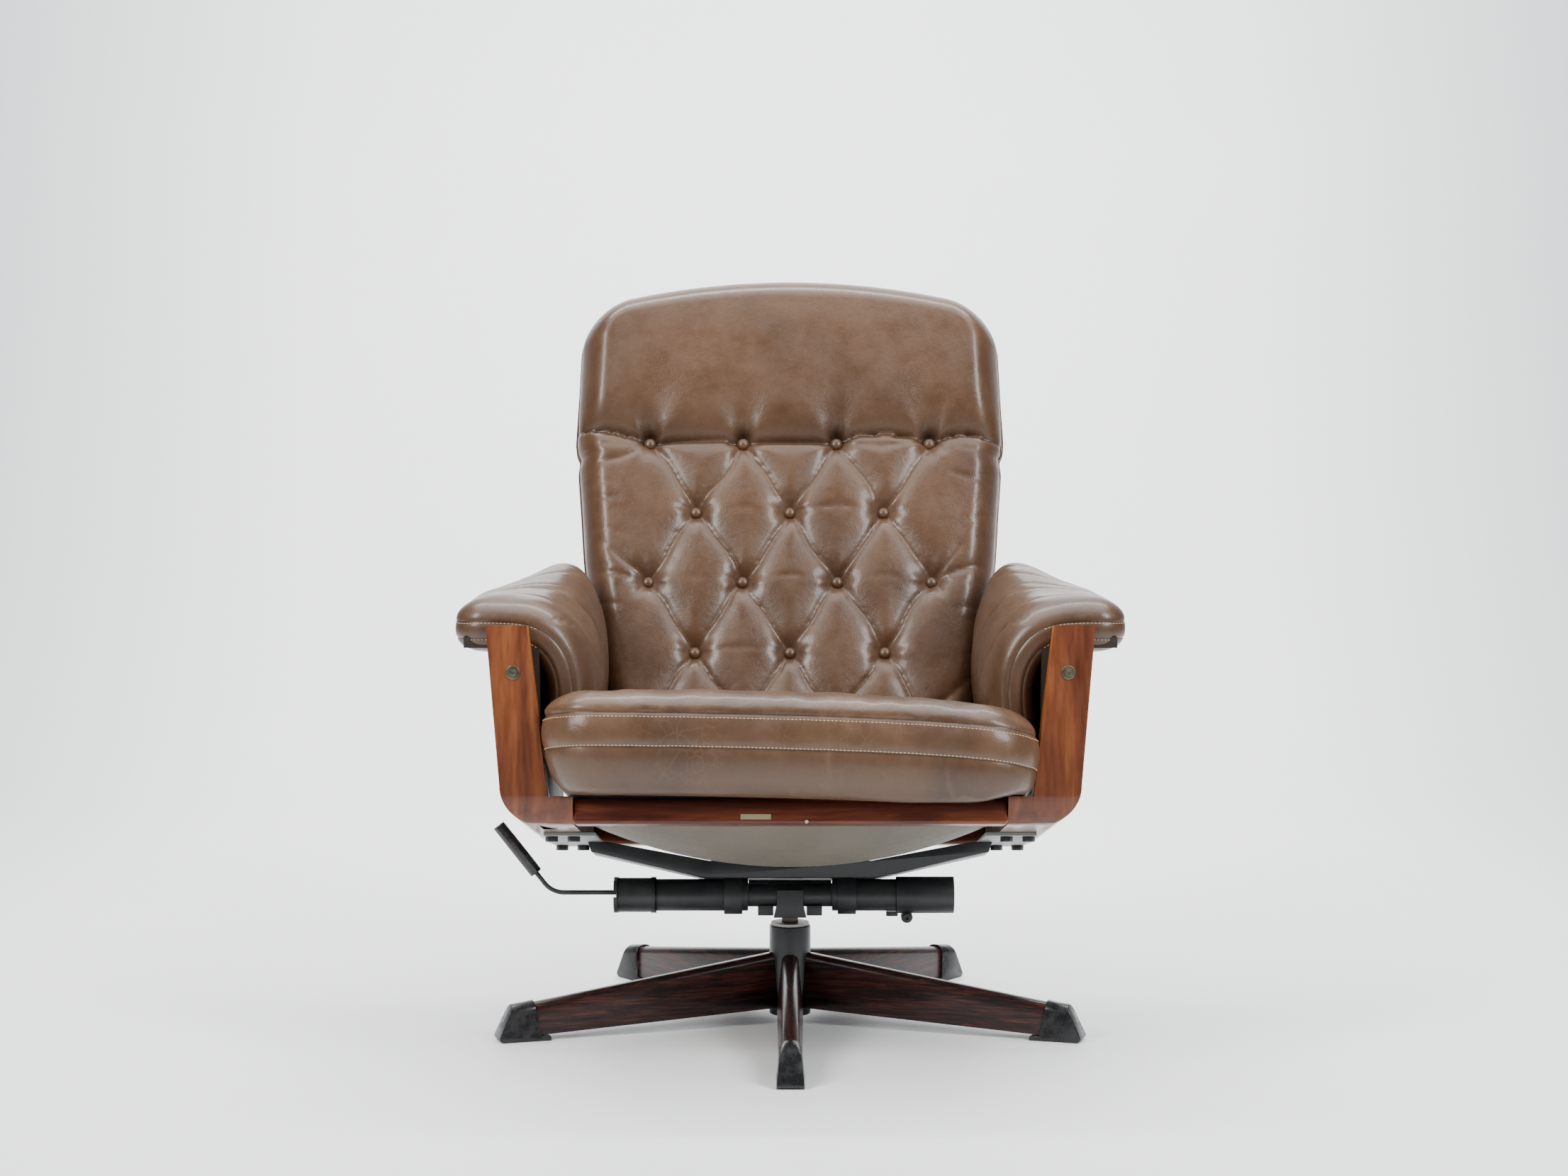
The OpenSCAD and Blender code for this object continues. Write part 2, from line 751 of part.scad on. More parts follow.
module back_cover() {
    y0 = back_pad + back_shell_t + 2 * fit;
    color("#6b442c") difference() {
        on_back() along_y(y0, y0 + back_cover_t) back_outline(2, frame_low);
        raked() translate([-slack, -slack, rail_top - slack]) cube([2 * slack, 2 * slack, slack + 4]);
    }
}

// Rows of four and three buttons, from the top row down
module button_places() {
    for (i = [0 : 3], j = [0 : 3 - i % 2])
        translate([(j - (3 - i % 2) / 2) * button_pitch, 0, 0.58 * back_h - i * button_row])
            rotate([-90, 0, 0]) children();
}

module back_buttons() {
    color("#7a4c30") on_back() button_places() translate([0, 0, -1]) {
        intersection() {
            translate([0, 0, 9]) sphere(r = 10);
            cylinder(r = button_d / 2, h = 3.5);
        }
    }
}

// Discs let into the shell's rear, which the button twine is tied to
module button_discs() {
    color("#4b4640") on_back() button_places() translate([0, 0, disc_y]) cylinder(r = 8, h = 3);
}

// ---- arms ----

// The arm bolt's own axes: +Z out of the post's front face
module at_arm_bolt() {
    translate([arm_bolt_x, post_y(arm_bolt_z), arm_bolt_z]) rotate([90 - post_lean, 0, 0])
        children();
}

module arm_bolt_hole() {
    at_arm_bolt() translate([0, 0, -70]) cylinder(r = arm_bolt_d / 2 + run_gap, h = 75);
}

// Bolt from the front of a post into the arm's board
module arm_bolts() {
    color("#57534a") both_sides() at_arm_bolt() {
        translate([0, 0, -62]) cylinder(r = arm_bolt_d / 2, h = 62 + washer_t);
        translate([0, 0, washer_t]) difference() {
            cylinder(r = 5, h = 2);
            translate([0, 0, 0.6]) cylinder(r = 2.4, h = 4, $fn = 6);
        }
    }
}

module arm_washers() {
    color("#8d8878") both_sides() at_arm_bolt() tube(8, arm_bolt_d / 2 + run_gap, washer_t);
}

// Side view of an arm's vertical board
module arm_board_side() {
    z1 = arm_shelf_z;
    w0 = rail_top + 16;
    function rear(z) = post_y(z) + post_d / cos(post_lean) + fit;
    polygon([
        rk(rear(z1), z1), rk(arm_rear_y, z1), rk(arm_rear_y, z1 - 90),
        [frame_rear - 20, w0], [-frame_front + 90, w0], rk(rear(z1 - 100), z1 - 100)
    ]);
}

module arm_board() {
    front = post_y(arm_shelf_z) + post_d / cos(post_lean) + 3;
    color("#a9855a") difference() {
        union() {
            raked() along_x(arm_board_x, arm_board_x + arm_board_t) arm_board_side();
            translate([arm_board_x, front, arm_shelf_z - arm_shelf_t])
                cube([arm_out - arm_board_x - 12, 330, arm_shelf_t]);
            translate([arm_board_x, front, arm_bolt_z - 18])
                cube([arm_bolt_x + 14 - arm_board_x, 45, arm_shelf_z - arm_bolt_z + 17]);
        }
        arm_bolt_hole();
        back_bolt_at() rotate([0, 90, 0]) cylinder(r = arm_bolt_d / 2 + run_gap, h = 400);
    }
}

// Padded arm: a top pad over the shelf and a panel that drops inside it to the seat
module arm_pad() {
    front = post_y(arm_shelf_z) + post_d / cos(post_lean) + 3;
    color("#7b4f33") difference() {
        union() {
            along_y(front - 1, front + 340)
                round_rect([arm_in + 40, arm_top - arm_pad_t], [arm_out, arm_top], 28);
            along_y(front + 4, front + 400)
                round_rect([arm_in, arm_mid_z - 150], [arm_board_x - fit, arm_top + 22], 24);
        }
        raked() along_x(arm_board_x - fit, arm_board_x + arm_board_t + fit) arm_board_side();
        translate([arm_board_x - fit, front - 50, arm_shelf_z - arm_shelf_t - fit])
            cube([arm_out - arm_board_x - 12 + 2 * fit, 385, arm_shelf_t + 2 * fit]);
        translate([arm_board_x - fit, front - 5, arm_bolt_z - 19])
            cube([arm_bolt_x + 15 - arm_board_x, 51, 60]);
        translate([arm_board_x - 1, front - 60, 300]) cube([arm_board_t + 2, 420, arm_shelf_z - 310]);
        raked() translate([-slack, -slack, seat_top + 2 - slack]) cube([2 * slack, 2 * slack, slack]);
        on_back() translate([-slack, -2, -slack]) cube([2 * slack, slack, 3 * slack]);
        translate([0, front - 40, 0]) cube([slack, 40, arm_shelf_z + 22]);
    }
}

module arm_board_left() { mirror([1, 0, 0]) arm_board(); }

module arm_board_right() { arm_board(); }

module arm_pad_left() { mirror([1, 0, 0]) arm_pad(); }

module arm_pad_right() { arm_pad(); }

// Middle of the bolt that joins an arm's board to the back shell
module back_bolt_at() {
    on_back() translate([back_half - 60, back_pad + fit + back_shell_t / 2, 98]) children();
}

module back_bolts() {
    edge = 0.93 * back_half;
    color("#57534a") both_sides() {
        back_bolt_at() rotate([0, 90, 0])
            cylinder(r = arm_bolt_d / 2, h = arm_board_x + arm_board_t - back_half + 60);
        translate([arm_board_x + arm_board_t - back_half + 60, 0, 0]) back_bolt_at()
            rotate([0, 90, 0]) cylinder(r = 7, h = 3);
        translate([edge - back_half + 60, 0, 0]) back_bolt_at() rotate([0, 90, 0])
            cylinder(r = 8, h = arm_board_x - edge);
    }
}

// ---- lever ----

module lever_frame() { translate([0, 0, tilt_h + rod_up]) children(); }

module lever_rod() {
    r = rod_d / 2;
    color("#3a3c3e") lever_frame() {
        translate([rod_bend_x, 0, 0]) rotate([0, 90, 0]) cylinder(r = r, h = 76);
        translate([rod_bend_x, 0, 0]) sphere(r = r + 0.15);
        translate([rod_bend_x, 0, rod_bend_r]) rotate([90, 0, 0]) rotate([0, 0, -90 - grip_rise])
            rotate_extrude(angle = grip_rise) translate([rod_bend_r, 0]) circle(r);
        grip_place() sphere(r = r + 0.15);
        grip_place() cylinder(r = r, h = 26);
    }
}

// From the end of the rod's bend, up along the grip
module grip_place() {
    translate([
        rod_bend_x - rod_bend_r * sin(grip_rise), 0, rod_bend_r * (1 - cos(grip_rise))
    ]) rotate([0, grip_rise - 90, 0]) children();
}

module lever_grip() {
    color("#151617") lever_frame() grip_place() difference() {
        translate([0, 0, 16]) rotate([0, 0, 22.5]) cylinder(r = grip_w / 2, h = grip_l, $fn = 8);
        translate([0, 0, 15]) cylinder(r = rod_d / 2 + run_gap, h = 11.1);
    }
}

// Cam that the rod turns against the brake discs
module lever_cam() {
    color("#4c4f52") difference() {
        tilt_tube(outer_r - 4, 0.5, lever_x - 2, lever_x + 6);
        lever_frame() translate([lever_x - 20, 0, 0]) rotate([0, 90, 0])
            cylinder(r = rod_d / 2 + run_gap, h = 60);
        translate([lever_x - 20, 0, tilt_h]) rotate([0, 90, 0]) cylinder(r = 2, h = 60);
    }
}

hub_tube();
upper_bush();
lower_bush();
hub_end_plug();
for (i = [1 : 5]) {
    on_leg(i) leg();
    on_leg(i) foot_cap();
}
spindle();
spindle_clip();
yoke();
yoke_gussets();
inner_tube();
torsion_anchor();
outer_tube_left();
outer_tube_right();
tube_bushes();
end_collar();
end_sleeve();
sleeve_plug();
clamp_screw();
torsion_bar();
brake_discs();
tube_straps();
cross_beam();
bracket_plates();
bracket_bolts();
side_frame_left();
side_frame_right();
front_rail();
rear_rail();
rail_plate();
rail_stud();
seat_pan();
seat_webbing();
seat_cushion();
back_shell();
back_cushion();
back_cover();
back_buttons();
button_discs();
arm_board_left();
arm_board_right();
arm_pad_left();
arm_pad_right();
arm_bolts();
arm_washers();
back_bolts();
lever_rod();
lever_grip();
lever_cam();
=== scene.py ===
import math
import bmesh
import bpy
import numpy as np
from mathutils import Matrix, Vector, noise
from mathutils.bvhtree import BVHTree


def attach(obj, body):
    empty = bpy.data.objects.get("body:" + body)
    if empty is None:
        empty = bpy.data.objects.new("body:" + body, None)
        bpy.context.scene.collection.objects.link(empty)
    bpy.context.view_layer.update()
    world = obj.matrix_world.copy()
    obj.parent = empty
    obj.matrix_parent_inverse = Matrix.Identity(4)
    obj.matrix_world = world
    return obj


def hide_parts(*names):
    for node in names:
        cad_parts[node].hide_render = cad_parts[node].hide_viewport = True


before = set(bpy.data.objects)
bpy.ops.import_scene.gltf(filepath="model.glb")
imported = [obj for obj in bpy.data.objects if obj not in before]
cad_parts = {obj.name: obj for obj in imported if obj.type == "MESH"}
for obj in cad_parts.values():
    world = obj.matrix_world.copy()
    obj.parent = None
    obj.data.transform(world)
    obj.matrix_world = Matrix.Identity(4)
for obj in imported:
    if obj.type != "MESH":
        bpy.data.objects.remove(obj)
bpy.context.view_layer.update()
MM = 0.001

# ---- Camera ----
# A short telephoto lens 0.8 m above the floor, square on to the chair and almost 4 m in front
# of its swivel axis, tipped a few degrees down.
lens = bpy.data.cameras.new("lens")
lens.lens = 72.42
lens.sensor_width = 36
camera = bpy.data.objects.new("camera", lens)
camera.location = (-0.0073, -3.803, 0.801)
camera.rotation_euler = (math.radians(85.93), 0, 0)
bpy.context.scene.collection.objects.link(camera)
bpy.context.scene.camera = camera

# ---- Studio floor and light ----
# A pale paper sweep: a flat floor that curves up into the wall well behind the chair. Two
# tall soft boxes hang in front, one on each side, with a broad one overhead and one that
# washes the wall. The paper is painted darker towards its sides and its top, as painted shade.


def add_node(tree, kind, inputs=None, **settings):
    node = tree.nodes.new(kind)
    for key, value in settings.items():
        setattr(node, key, value)
    for key, value in (inputs or {}).items():
        if isinstance(value, bpy.types.NodeSocket):
            tree.links.new(value, node.inputs[key])
        else:
            node.inputs[key].default_value = value
    return node


def new_finish(name, shader):
    """A material with its shader's constant values set. Returns it, its tree, its shader
    and the coordinates that its patterns read."""
    material = bpy.data.materials.new(name)
    material.use_nodes = True
    tree = material.node_tree
    bsdf = tree.nodes["Principled BSDF"]
    for key, value in shader.items():
        bsdf.inputs[key].default_value = value
    coords = add_node(tree, "ShaderNodeTexCoord").outputs["Object"]
    return material, tree, bsdf, coords


def placed(tree, coords, scale=(1, 1, 1), turn=(0, 0, 0), shift=(0, 0, 0)):
    return add_node(tree, "ShaderNodeMapping", {
        "Vector": coords, "Scale": scale, "Rotation": turn, "Location": shift,
    }).outputs["Vector"]


def speckle(tree, vector, scale, detail=4.0, rough=0.55, warp=0.0):
    return add_node(tree, "ShaderNodeTexNoise", {
        "Vector": vector, "Scale": scale, "Detail": detail, "Roughness": rough,
        "Distortion": warp,
    }).outputs["Fac"]


def ramp(tree, value, stops):
    node = add_node(tree, "ShaderNodeValToRGB", {"Fac": value})
    band = node.color_ramp
    while len(band.elements) < len(stops):
        band.elements.new(0.5)
    for element, (place, colour) in zip(band.elements, stops):
        element.position = place
        element.color = (*colour, 1)
    return node.outputs["Color"]


def levels(tree, value, low, high, out_low, out_high):
    return add_node(tree, "ShaderNodeMapRange", {
        "Value": value, "From Min": low, "From Max": high, "To Min": out_low, "To Max": out_high,
    }).outputs["Result"]


def maths(tree, kind, a, b):
    return add_node(tree, "ShaderNodeMath", {0: a, 1: b}, operation=kind).outputs[0]


def blended(tree, share, a, b, kind="MIX"):
    node = tree.nodes.new("ShaderNodeMix")
    node.data_type = "RGBA"
    node.blend_type = kind
    for index, value in ((0, share), (6, a), (7, b)):
        if isinstance(value, bpy.types.NodeSocket):
            tree.links.new(value, node.inputs[index])
        elif index == 0:
            node.inputs[index].default_value = value
        else:
            node.inputs[index].default_value = (*value, 1)
    return node.outputs[2]


def raised(tree, bsdf, height, strength, distance):
    node = add_node(tree, "ShaderNodeBump", {
        "Height": height, "Strength": strength, "Distance": distance})
    tree.links.new(node.outputs["Normal"], bsdf.inputs["Normal"])


def colour_and_gloss(tree, bsdf, colour, gloss):
    tree.links.new(colour, bsdf.inputs["Base Color"])
    tree.links.new(gloss, bsdf.inputs["Roughness"])


def paper():
    material, tree, bsdf, coords = new_finish("sweep_paper", {"Specular IOR Level": 0.25})
    cloud = speckle(tree, placed(tree, coords), 0.8)
    colour = ramp(tree, cloud, [(0.3, (0.90, 0.915, 0.92)), (0.7, (0.93, 0.94, 0.945))])
    axes = add_node(tree, "ShaderNodeSeparateXYZ", {"Vector": coords})
    # painted shade: the paper is darkened towards its sides and towards its top, where the light falls off
    aside = maths(tree, "ABSOLUTE", axes.outputs["X"], 0)
    colour = blended(tree, levels(tree, aside, 1.0, 2.6, 0.0, 0.80), colour, (0.27, 0.29, 0.32))
    colour = blended(tree, levels(tree, axes.outputs["Z"], 1.3, 3.2, 0.0, 0.45), colour, (0.36, 0.39, 0.42))
    scuff = speckle(tree, placed(tree, coords), 9.0)
    colour_and_gloss(tree, bsdf, colour, levels(tree, scuff, 0.3, 0.7, 0.5, 0.62))
    return material


def sweep():
    """Floor, curve and wall as one sheet: an edge run back, up round the curve and up."""
    front, back, bend, high, half_width = -6.0, 3.4, 1.6, 5.0, 7
    profile = [(front, 0.0), (back - bend, 0.0)]
    profile += [
        (back - bend + bend * math.sin(a), bend - bend * math.cos(a))
        for a in np.radians(np.arange(6, 91, 6))
    ]
    profile.append((back, high))
    bm = bmesh.new()
    row = [bm.verts.new((x, *profile[0])) for x in (-half_width, half_width)]
    edges = [bm.edges.new(row)]
    for (y0, z0), (y1, z1) in zip(profile, profile[1:]):
        made = bmesh.ops.extrude_edge_only(bm, edges=edges)["geom"]
        moved = [g for g in made if isinstance(g, bmesh.types.BMVert)]
        edges = [g for g in made if isinstance(g, bmesh.types.BMEdge)
                 and all(v in moved for v in g.verts)]
        bmesh.ops.translate(bm, verts=moved, vec=(0, y1 - y0, z1 - z0))
    bmesh.ops.recalc_face_normals(bm, faces=bm.faces)
    mesh = bpy.data.meshes.new("sweep")
    bm.to_mesh(mesh)
    bm.free()
    mesh.shade_smooth()
    mesh.materials.append(paper())
    obj = bpy.data.objects.new("sweep", mesh)
    bpy.context.scene.collection.objects.link(obj)


def soft_box(name, place, target, size, power, colour=(1, 1, 1)):
    light = bpy.data.lights.new(name, "AREA")
    light.shape = "RECTANGLE"
    light.size, light.size_y = size
    light.energy = power
    light.color = colour
    obj = bpy.data.objects.new(name, light)
    obj.location = place
    aim = Vector(target) - Vector(place)
    obj.rotation_euler = aim.to_track_quat("-Z", "Y").to_euler()
    bpy.context.scene.collection.objects.link(obj)


sweep()
soft_box("box_left", (-1.95, -1.8, 2.25), (0, 0, 0.6), (1.0, 1.7), 105, (1.0, 0.985, 0.96))
soft_box("box_right", (1.95, -1.8, 2.25), (0, 0, 0.6), (1.0, 1.7), 105, (0.97, 0.985, 1.0))
soft_box("overhead", (0, 0.2, 3.2), (0, 0.2, 0), (3.6, 2.8), 125)
soft_box("wall_wash", (0, 1.0, 3.0), (0, 3.4, 0.9), (3.2, 0.6), 200)
world = bpy.data.worlds.new("room")
world.use_nodes = True
world.node_tree.nodes["Background"].inputs["Color"].default_value = (0.80, 0.84, 0.88, 1)
world.node_tree.nodes["Background"].inputs["Strength"].default_value = 0.17
bpy.context.scene.world = world

# ---- Swivel base: hub, legs and feet ----
# The hub is a black lacquered tube. Each leg is 2 mm steel pressed to an upturned U, wrapped
# in a dark rosewood foil and welded to the hub; a moulded black cap is pushed over its end.


def finish_piece(name, bm, material, body, replaced=(), sharp=35):
    """A finished mesh piece from a bmesh: shaded smooth with its sharp edges kept."""
    mesh = bpy.data.meshes.new(name)
    bm.to_mesh(mesh)
    bm.free()
    return dress(name, mesh, material, body, replaced, sharp)


def dress(name, mesh, material, body, replaced=(), sharp=35):
    mesh.shade_smooth()
    if sharp:
        mesh.set_sharp_from_angle(angle=math.radians(sharp))
    mesh.materials.clear()
    mesh.materials.append(material)
    obj = bpy.data.objects.new(name, mesh)
    bpy.context.scene.collection.objects.link(obj)
    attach(obj, body)
    if replaced:
        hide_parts(*replaced)
    return obj


def coat(node, material):
    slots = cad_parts[node].data.materials
    slots.clear()
    slots.append(material)


def rounded_copy(node, width, steps, angle):
    """The CAD piece as a bmesh with its points merged and its hard edges rounded."""
    bm = bmesh.new()
    bm.from_mesh(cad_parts[node].data)
    bmesh.ops.remove_doubles(bm, verts=bm.verts, dist=0.02 * MM)
    bmesh.ops.dissolve_limit(bm, angle_limit=math.radians(1), verts=bm.verts, edges=bm.edges)
    hard = [e for e in bm.edges
            if len(e.link_faces) == 2 and e.calc_face_angle(0) > math.radians(angle)]
    bmesh.ops.bevel(bm, geom=hard, offset=width, offset_type="OFFSET", affect="EDGES",
                    segments=steps, profile=0.5, material=-1, clamp_overlap=True)
    return bm


def eased(node, width, material, body, steps=2, angle=30):
    """The CAD piece with its edges rounded as pressing, moulding or paint leaves them."""
    bm = rounded_copy(node, width, steps, angle)
    return finish_piece(node + "_eased", bm, material, body, (node,))


def black_paint(name, shade, gloss, bump, dust):
    material, tree, bsdf, coords = new_finish(name, {"Specular IOR Level": 0.5})
    cloud = speckle(tree, placed(tree, coords), 22.0, 6.0)
    dusty = tuple(c + dust for c in shade)
    colour = ramp(tree, cloud, [(0.35, shade), (0.75, dusty)])
    fine = speckle(tree, placed(tree, coords, shift=(3, 1, 7)), 420.0, 3.0)
    colour_and_gloss(tree, bsdf, colour, levels(tree, cloud, 0.3, 0.7, gloss - 0.06, gloss + 0.1))
    raised(tree, bsdf, fine, bump, 0.0004)
    return material


def foil(name, turn):
    """Printed rosewood: dark wavy stripes along the leg over red brown, under clear gloss."""
    material, tree, bsdf, coords = new_finish(name, {
        "Coat Weight": 0.12, "Coat Roughness": 0.12, "Specular IOR Level": 0.3})
    along = placed(tree, coords, (1, 1, 1), (0, 0, -turn))
    long = placed(tree, along, (9, 190, 190))
    warp = speckle(tree, placed(tree, along, (4, 14, 14)), 1.0, 3.0)
    bands = speckle(tree, long, 1.6, 7.0, 0.62, 0.9)
    fibre = speckle(tree, placed(tree, along, (30, 700, 700)), 1.0, 3.0)
    colour = ramp(tree, bands, [(0.40, (0.010, 0.006, 0.006)), (0.50, (0.026, 0.009, 0.008)),
                                (0.60, (0.062, 0.017, 0.012)), (0.75, (0.105, 0.030, 0.020))])
    streaks = ramp(tree, fibre, [(0.35, (0.55, 0.5, 0.5)), (0.6, (1.1, 1.1, 1.1))])
    colour = blended(tree, 0.8, colour, streaks, "MULTIPLY")
    shade = ramp(tree, warp, [(0.3, (0.7, 0.7, 0.7)), (0.7, (1.15, 1.15, 1.15))])
    colour = blended(tree, 1.0, colour, shade, "MULTIPLY")
    colour_and_gloss(tree, bsdf, colour, levels(tree, fibre, 0.3, 0.7, 0.26, 0.38))
    raised(tree, bsdf, fibre, 0.12, 0.0003)
    return material


def cap_plastic():
    material, tree, bsdf, coords = new_finish("cap_plastic", {"Specular IOR Level": 0.5})
    rub = speckle(tree, placed(tree, coords), 70.0, 6.0, 0.7)
    colour = ramp(tree, rub, [(0.45, (0.010, 0.010, 0.011)), (0.62, (0.016, 0.016, 0.017)),
                              (0.8, (0.05, 0.048, 0.046))])
    colour_and_gloss(tree, bsdf, colour, levels(tree, rub, 0.4, 0.7, 0.2, 0.5))
    raised(tree, bsdf, speckle(tree, placed(tree, coords), 300.0), 0.15, 0.0004)
    return material


def bare_metal(name, shade, gloss):
    material, tree, bsdf, coords = new_finish(name, {"Metallic": 0.9})
    cloud = speckle(tree, placed(tree, coords), 60.0, 6.0, 0.65)
    colour = ramp(tree, cloud, [(0.3, tuple(c * 0.6 for c in shade)), (0.7, shade)])
    colour_and_gloss(tree, bsdf, colour, levels(tree, cloud, 0.3, 0.7, gloss, gloss + 0.2))
    raised(tree, bsdf, speckle(tree, placed(tree, coords), 500.0), 0.1, 0.0003)
    return material


def moulded(name, shade, gloss, size=160.0):
    material, tree, bsdf, coords = new_finish(name, {"Specular IOR Level": 0.4})
    cloud = speckle(tree, placed(tree, coords), 14.0, 5.0)
    colour = ramp(tree, cloud, [(0.3, tuple(c * 0.82 for c in shade)), (0.7, shade)])
    grit = speckle(tree, placed(tree, coords), size, 4.0)
    colour_and_gloss(tree, bsdf, colour, levels(tree, grit, 0.3, 0.7, gloss - 0.05, gloss + 0.1))
    raised(tree, bsdf, grit, 0.2, 0.0005)
    return material


LEGS = 5
FRONT = -90  # degrees: leg 1 points at the sitter's feet
BLACK = (0.012, 0.013, 0.015)
lacquer = black_paint("hub_lacquer", BLACK, 0.30, 0.08, 0.012)
steel_black = black_paint("steel_black", BLACK, 0.40, 0.3, 0.018)
plastic = cap_plastic()
for k in range(LEGS):
    turn = math.radians(FRONT + k * 360 / LEGS)
    eased(f"leg_{k + 1}", 1.2 * MM, foil(f"rosewood_foil_{k + 1}", turn), "base", 3, 40)
    eased(f"foot_cap_{k + 1}", 2.5 * MM, plastic, "base", 3)
eased("hub_tube", 2.5 * MM, lacquer, "base", 4)
nylon = moulded("bush_nylon", (0.55, 0.53, 0.48), 0.45)
dull_zinc = bare_metal("dull_zinc", (0.42, 0.42, 0.43), 0.35)
worn_steel = bare_metal("worn_steel", (0.16, 0.12, 0.09), 0.42)
for node, finish in (("upper_bush", nylon), ("lower_bush", nylon), ("hub_end_plug", dull_zinc),
                     ("tube_bushes", nylon), ("spindle", worn_steel), ("spindle_clip", dull_zinc),
                     ("torsion_anchor", dull_zinc), ("sleeve_plug", dull_zinc),
                     ("torsion_bar", dull_zinc), ("brake_discs", dull_zinc), ("lever_cam", dull_zinc)):
    coat(node, finish)

# ---- Tilt mechanism ----
# Steel tubes, cradle, straps and cross beam, cut, pressed, welded and painted black. Beads of
# weld stand round the tilt tube at both sides of the collar and at the right sleeve.
for body, nodes in (
        ("swivel", ("yoke", "yoke_gussets", "inner_tube")),
        ("seat", ("outer_tube_left", "outer_tube_right", "end_collar", "end_sleeve", "clamp_screw",
                  "tube_straps", "cross_beam"))):
    for node in nodes:
        eased(node, 0.8 * MM, steel_black, body)
# painted reflection: the bracket plates are glossy black steel, coloured mid grey for the pale floor they
# reflect from below
plate_reflection = moulded("plate_painted_reflection", (0.20, 0.215, 0.20), 0.4)
eased("bracket_plates", 0.7 * MM, plate_reflection, "seat")
eased("bracket_bolts", 0.7 * MM, steel_black, "seat")
TILT_AXIS = Vector((0, 0, 156)) * MM


def weld_ring(name, x, radius, thick):
    """A bead of weld round the tilt tube: a ring spun about the axis, then roughened."""
    quarter = math.pi / 2
    bm = bmesh.new()
    bmesh.ops.create_circle(bm, segments=10, radius=thick, matrix=(
        Matrix.Translation((x, 0, TILT_AXIS.z + radius)) @ Matrix.Rotation(quarter, 4, "Z")
        @ Matrix.Rotation(quarter, 4, "X") @ Matrix.Rotation(quarter, 4, "Z")))
    bmesh.ops.spin(bm, geom=bm.edges[:], cent=TILT_AXIS, axis=(1, 0, 0), angle=2 * math.pi,
                   steps=72, use_merge=True)
    bmesh.ops.remove_doubles(bm, verts=bm.verts, dist=0.001 * MM)
    for v in bm.verts:
        out = (v.co - TILT_AXIS) * Vector((0, 1, 1))
        v.co += out.normalized() * noise.noise(v.co * 260) * thick * 0.8
    bmesh.ops.recalc_face_normals(bm, faces=bm.faces)
    finish_piece(name, bm, steel_black, "seat")


for name, x, radius, thick in (
        ("collar_weld", -163, 20.6, 2.4), ("sleeve_weld", 129, 20.4, 1.6),
        ("lever_end_weld", -208, 20.4, 1.9)):
    weld_ring(name, x * MM, radius * MM, thick * MM)

# ---- Lever ----
# A steel rod, bent outwards and up from the collar at the left end of the tilt tube. A black
# faceted plastic grip is pushed on its end.
eased("lever_grip", 1.2 * MM, plastic, "lever", 3, 20)
eased("lever_rod", 0.3 * MM, steel_black, "lever")

# ---- Wooden frame ----
# Beech posts, side rails and cross rails, planed round at the edges, stained mahogany red and
# lacquered. Above the bend, the posts' inner faces are blended towards a lighter orange.


def read_points(mesh):
    co = np.zeros(len(mesh.vertices) * 3)
    mesh.vertices.foreach_get("co", co)
    return co.reshape(-1, 3)


def read_normals(mesh):
    no = np.zeros(len(mesh.vertices) * 3)
    mesh.vertex_normals.foreach_get("vector", no)
    return no.reshape(-1, 3)


def ease(low, high, value):
    t = np.clip((value - low) / (high - low), 0, 1)
    return t * t * (3 - 2 * t)


def stained(name, stretch, red, amber):
    """Lacquered stain over grain that runs along the axis with the least stretch."""
    material, tree, bsdf, coords = new_finish(name, {
        "Coat Weight": 0.22, "Coat Roughness": 0.08, "Specular IOR Level": 0.25})
    along = placed(tree, coords, stretch)
    bands = speckle(tree, along, 1.0, 5.0, 0.55, 0.7)
    fibre = speckle(tree, placed(tree, along, (6, 6, 6)), 1.0, 3.0)
    colour = ramp(tree, bands, [(0.33, tuple(c * 0.55 for c in red)), (0.52, red), (0.72, amber)])
    lines = ramp(tree, fibre, [(0.35, (0.72, 0.68, 0.66)), (0.62, (1.08, 1.06, 1.05))])
    colour = blended(tree, 0.7, colour, lines, "MULTIPLY")
    # a lighter orange is blended in where the point attribute marks the posts' inner faces above the bend
    edge = add_node(tree, "ShaderNodeAttribute", attribute_name="inner_face_tint").outputs["Fac"]
    colour = blended(tree, maths(tree, "MULTIPLY", edge, 0.75), colour, (0.50, 0.145, 0.022))
    colour_and_gloss(tree, bsdf, colour, levels(tree, fibre, 0.3, 0.7, 0.30, 0.42))
    raised(tree, bsdf, fibre, 0.06, 0.0003)
    return material


def planed(node, width):
    """The CAD piece planed round at its edges."""
    bm = rounded_copy(node, width, 5, 32)
    bmesh.ops.triangulate(bm, faces=[f for f in bm.faces if len(f.verts) > 4])
    mesh = bpy.data.meshes.new(node + "_planed")
    bm.to_mesh(mesh)
    bm.free()
    return mesh


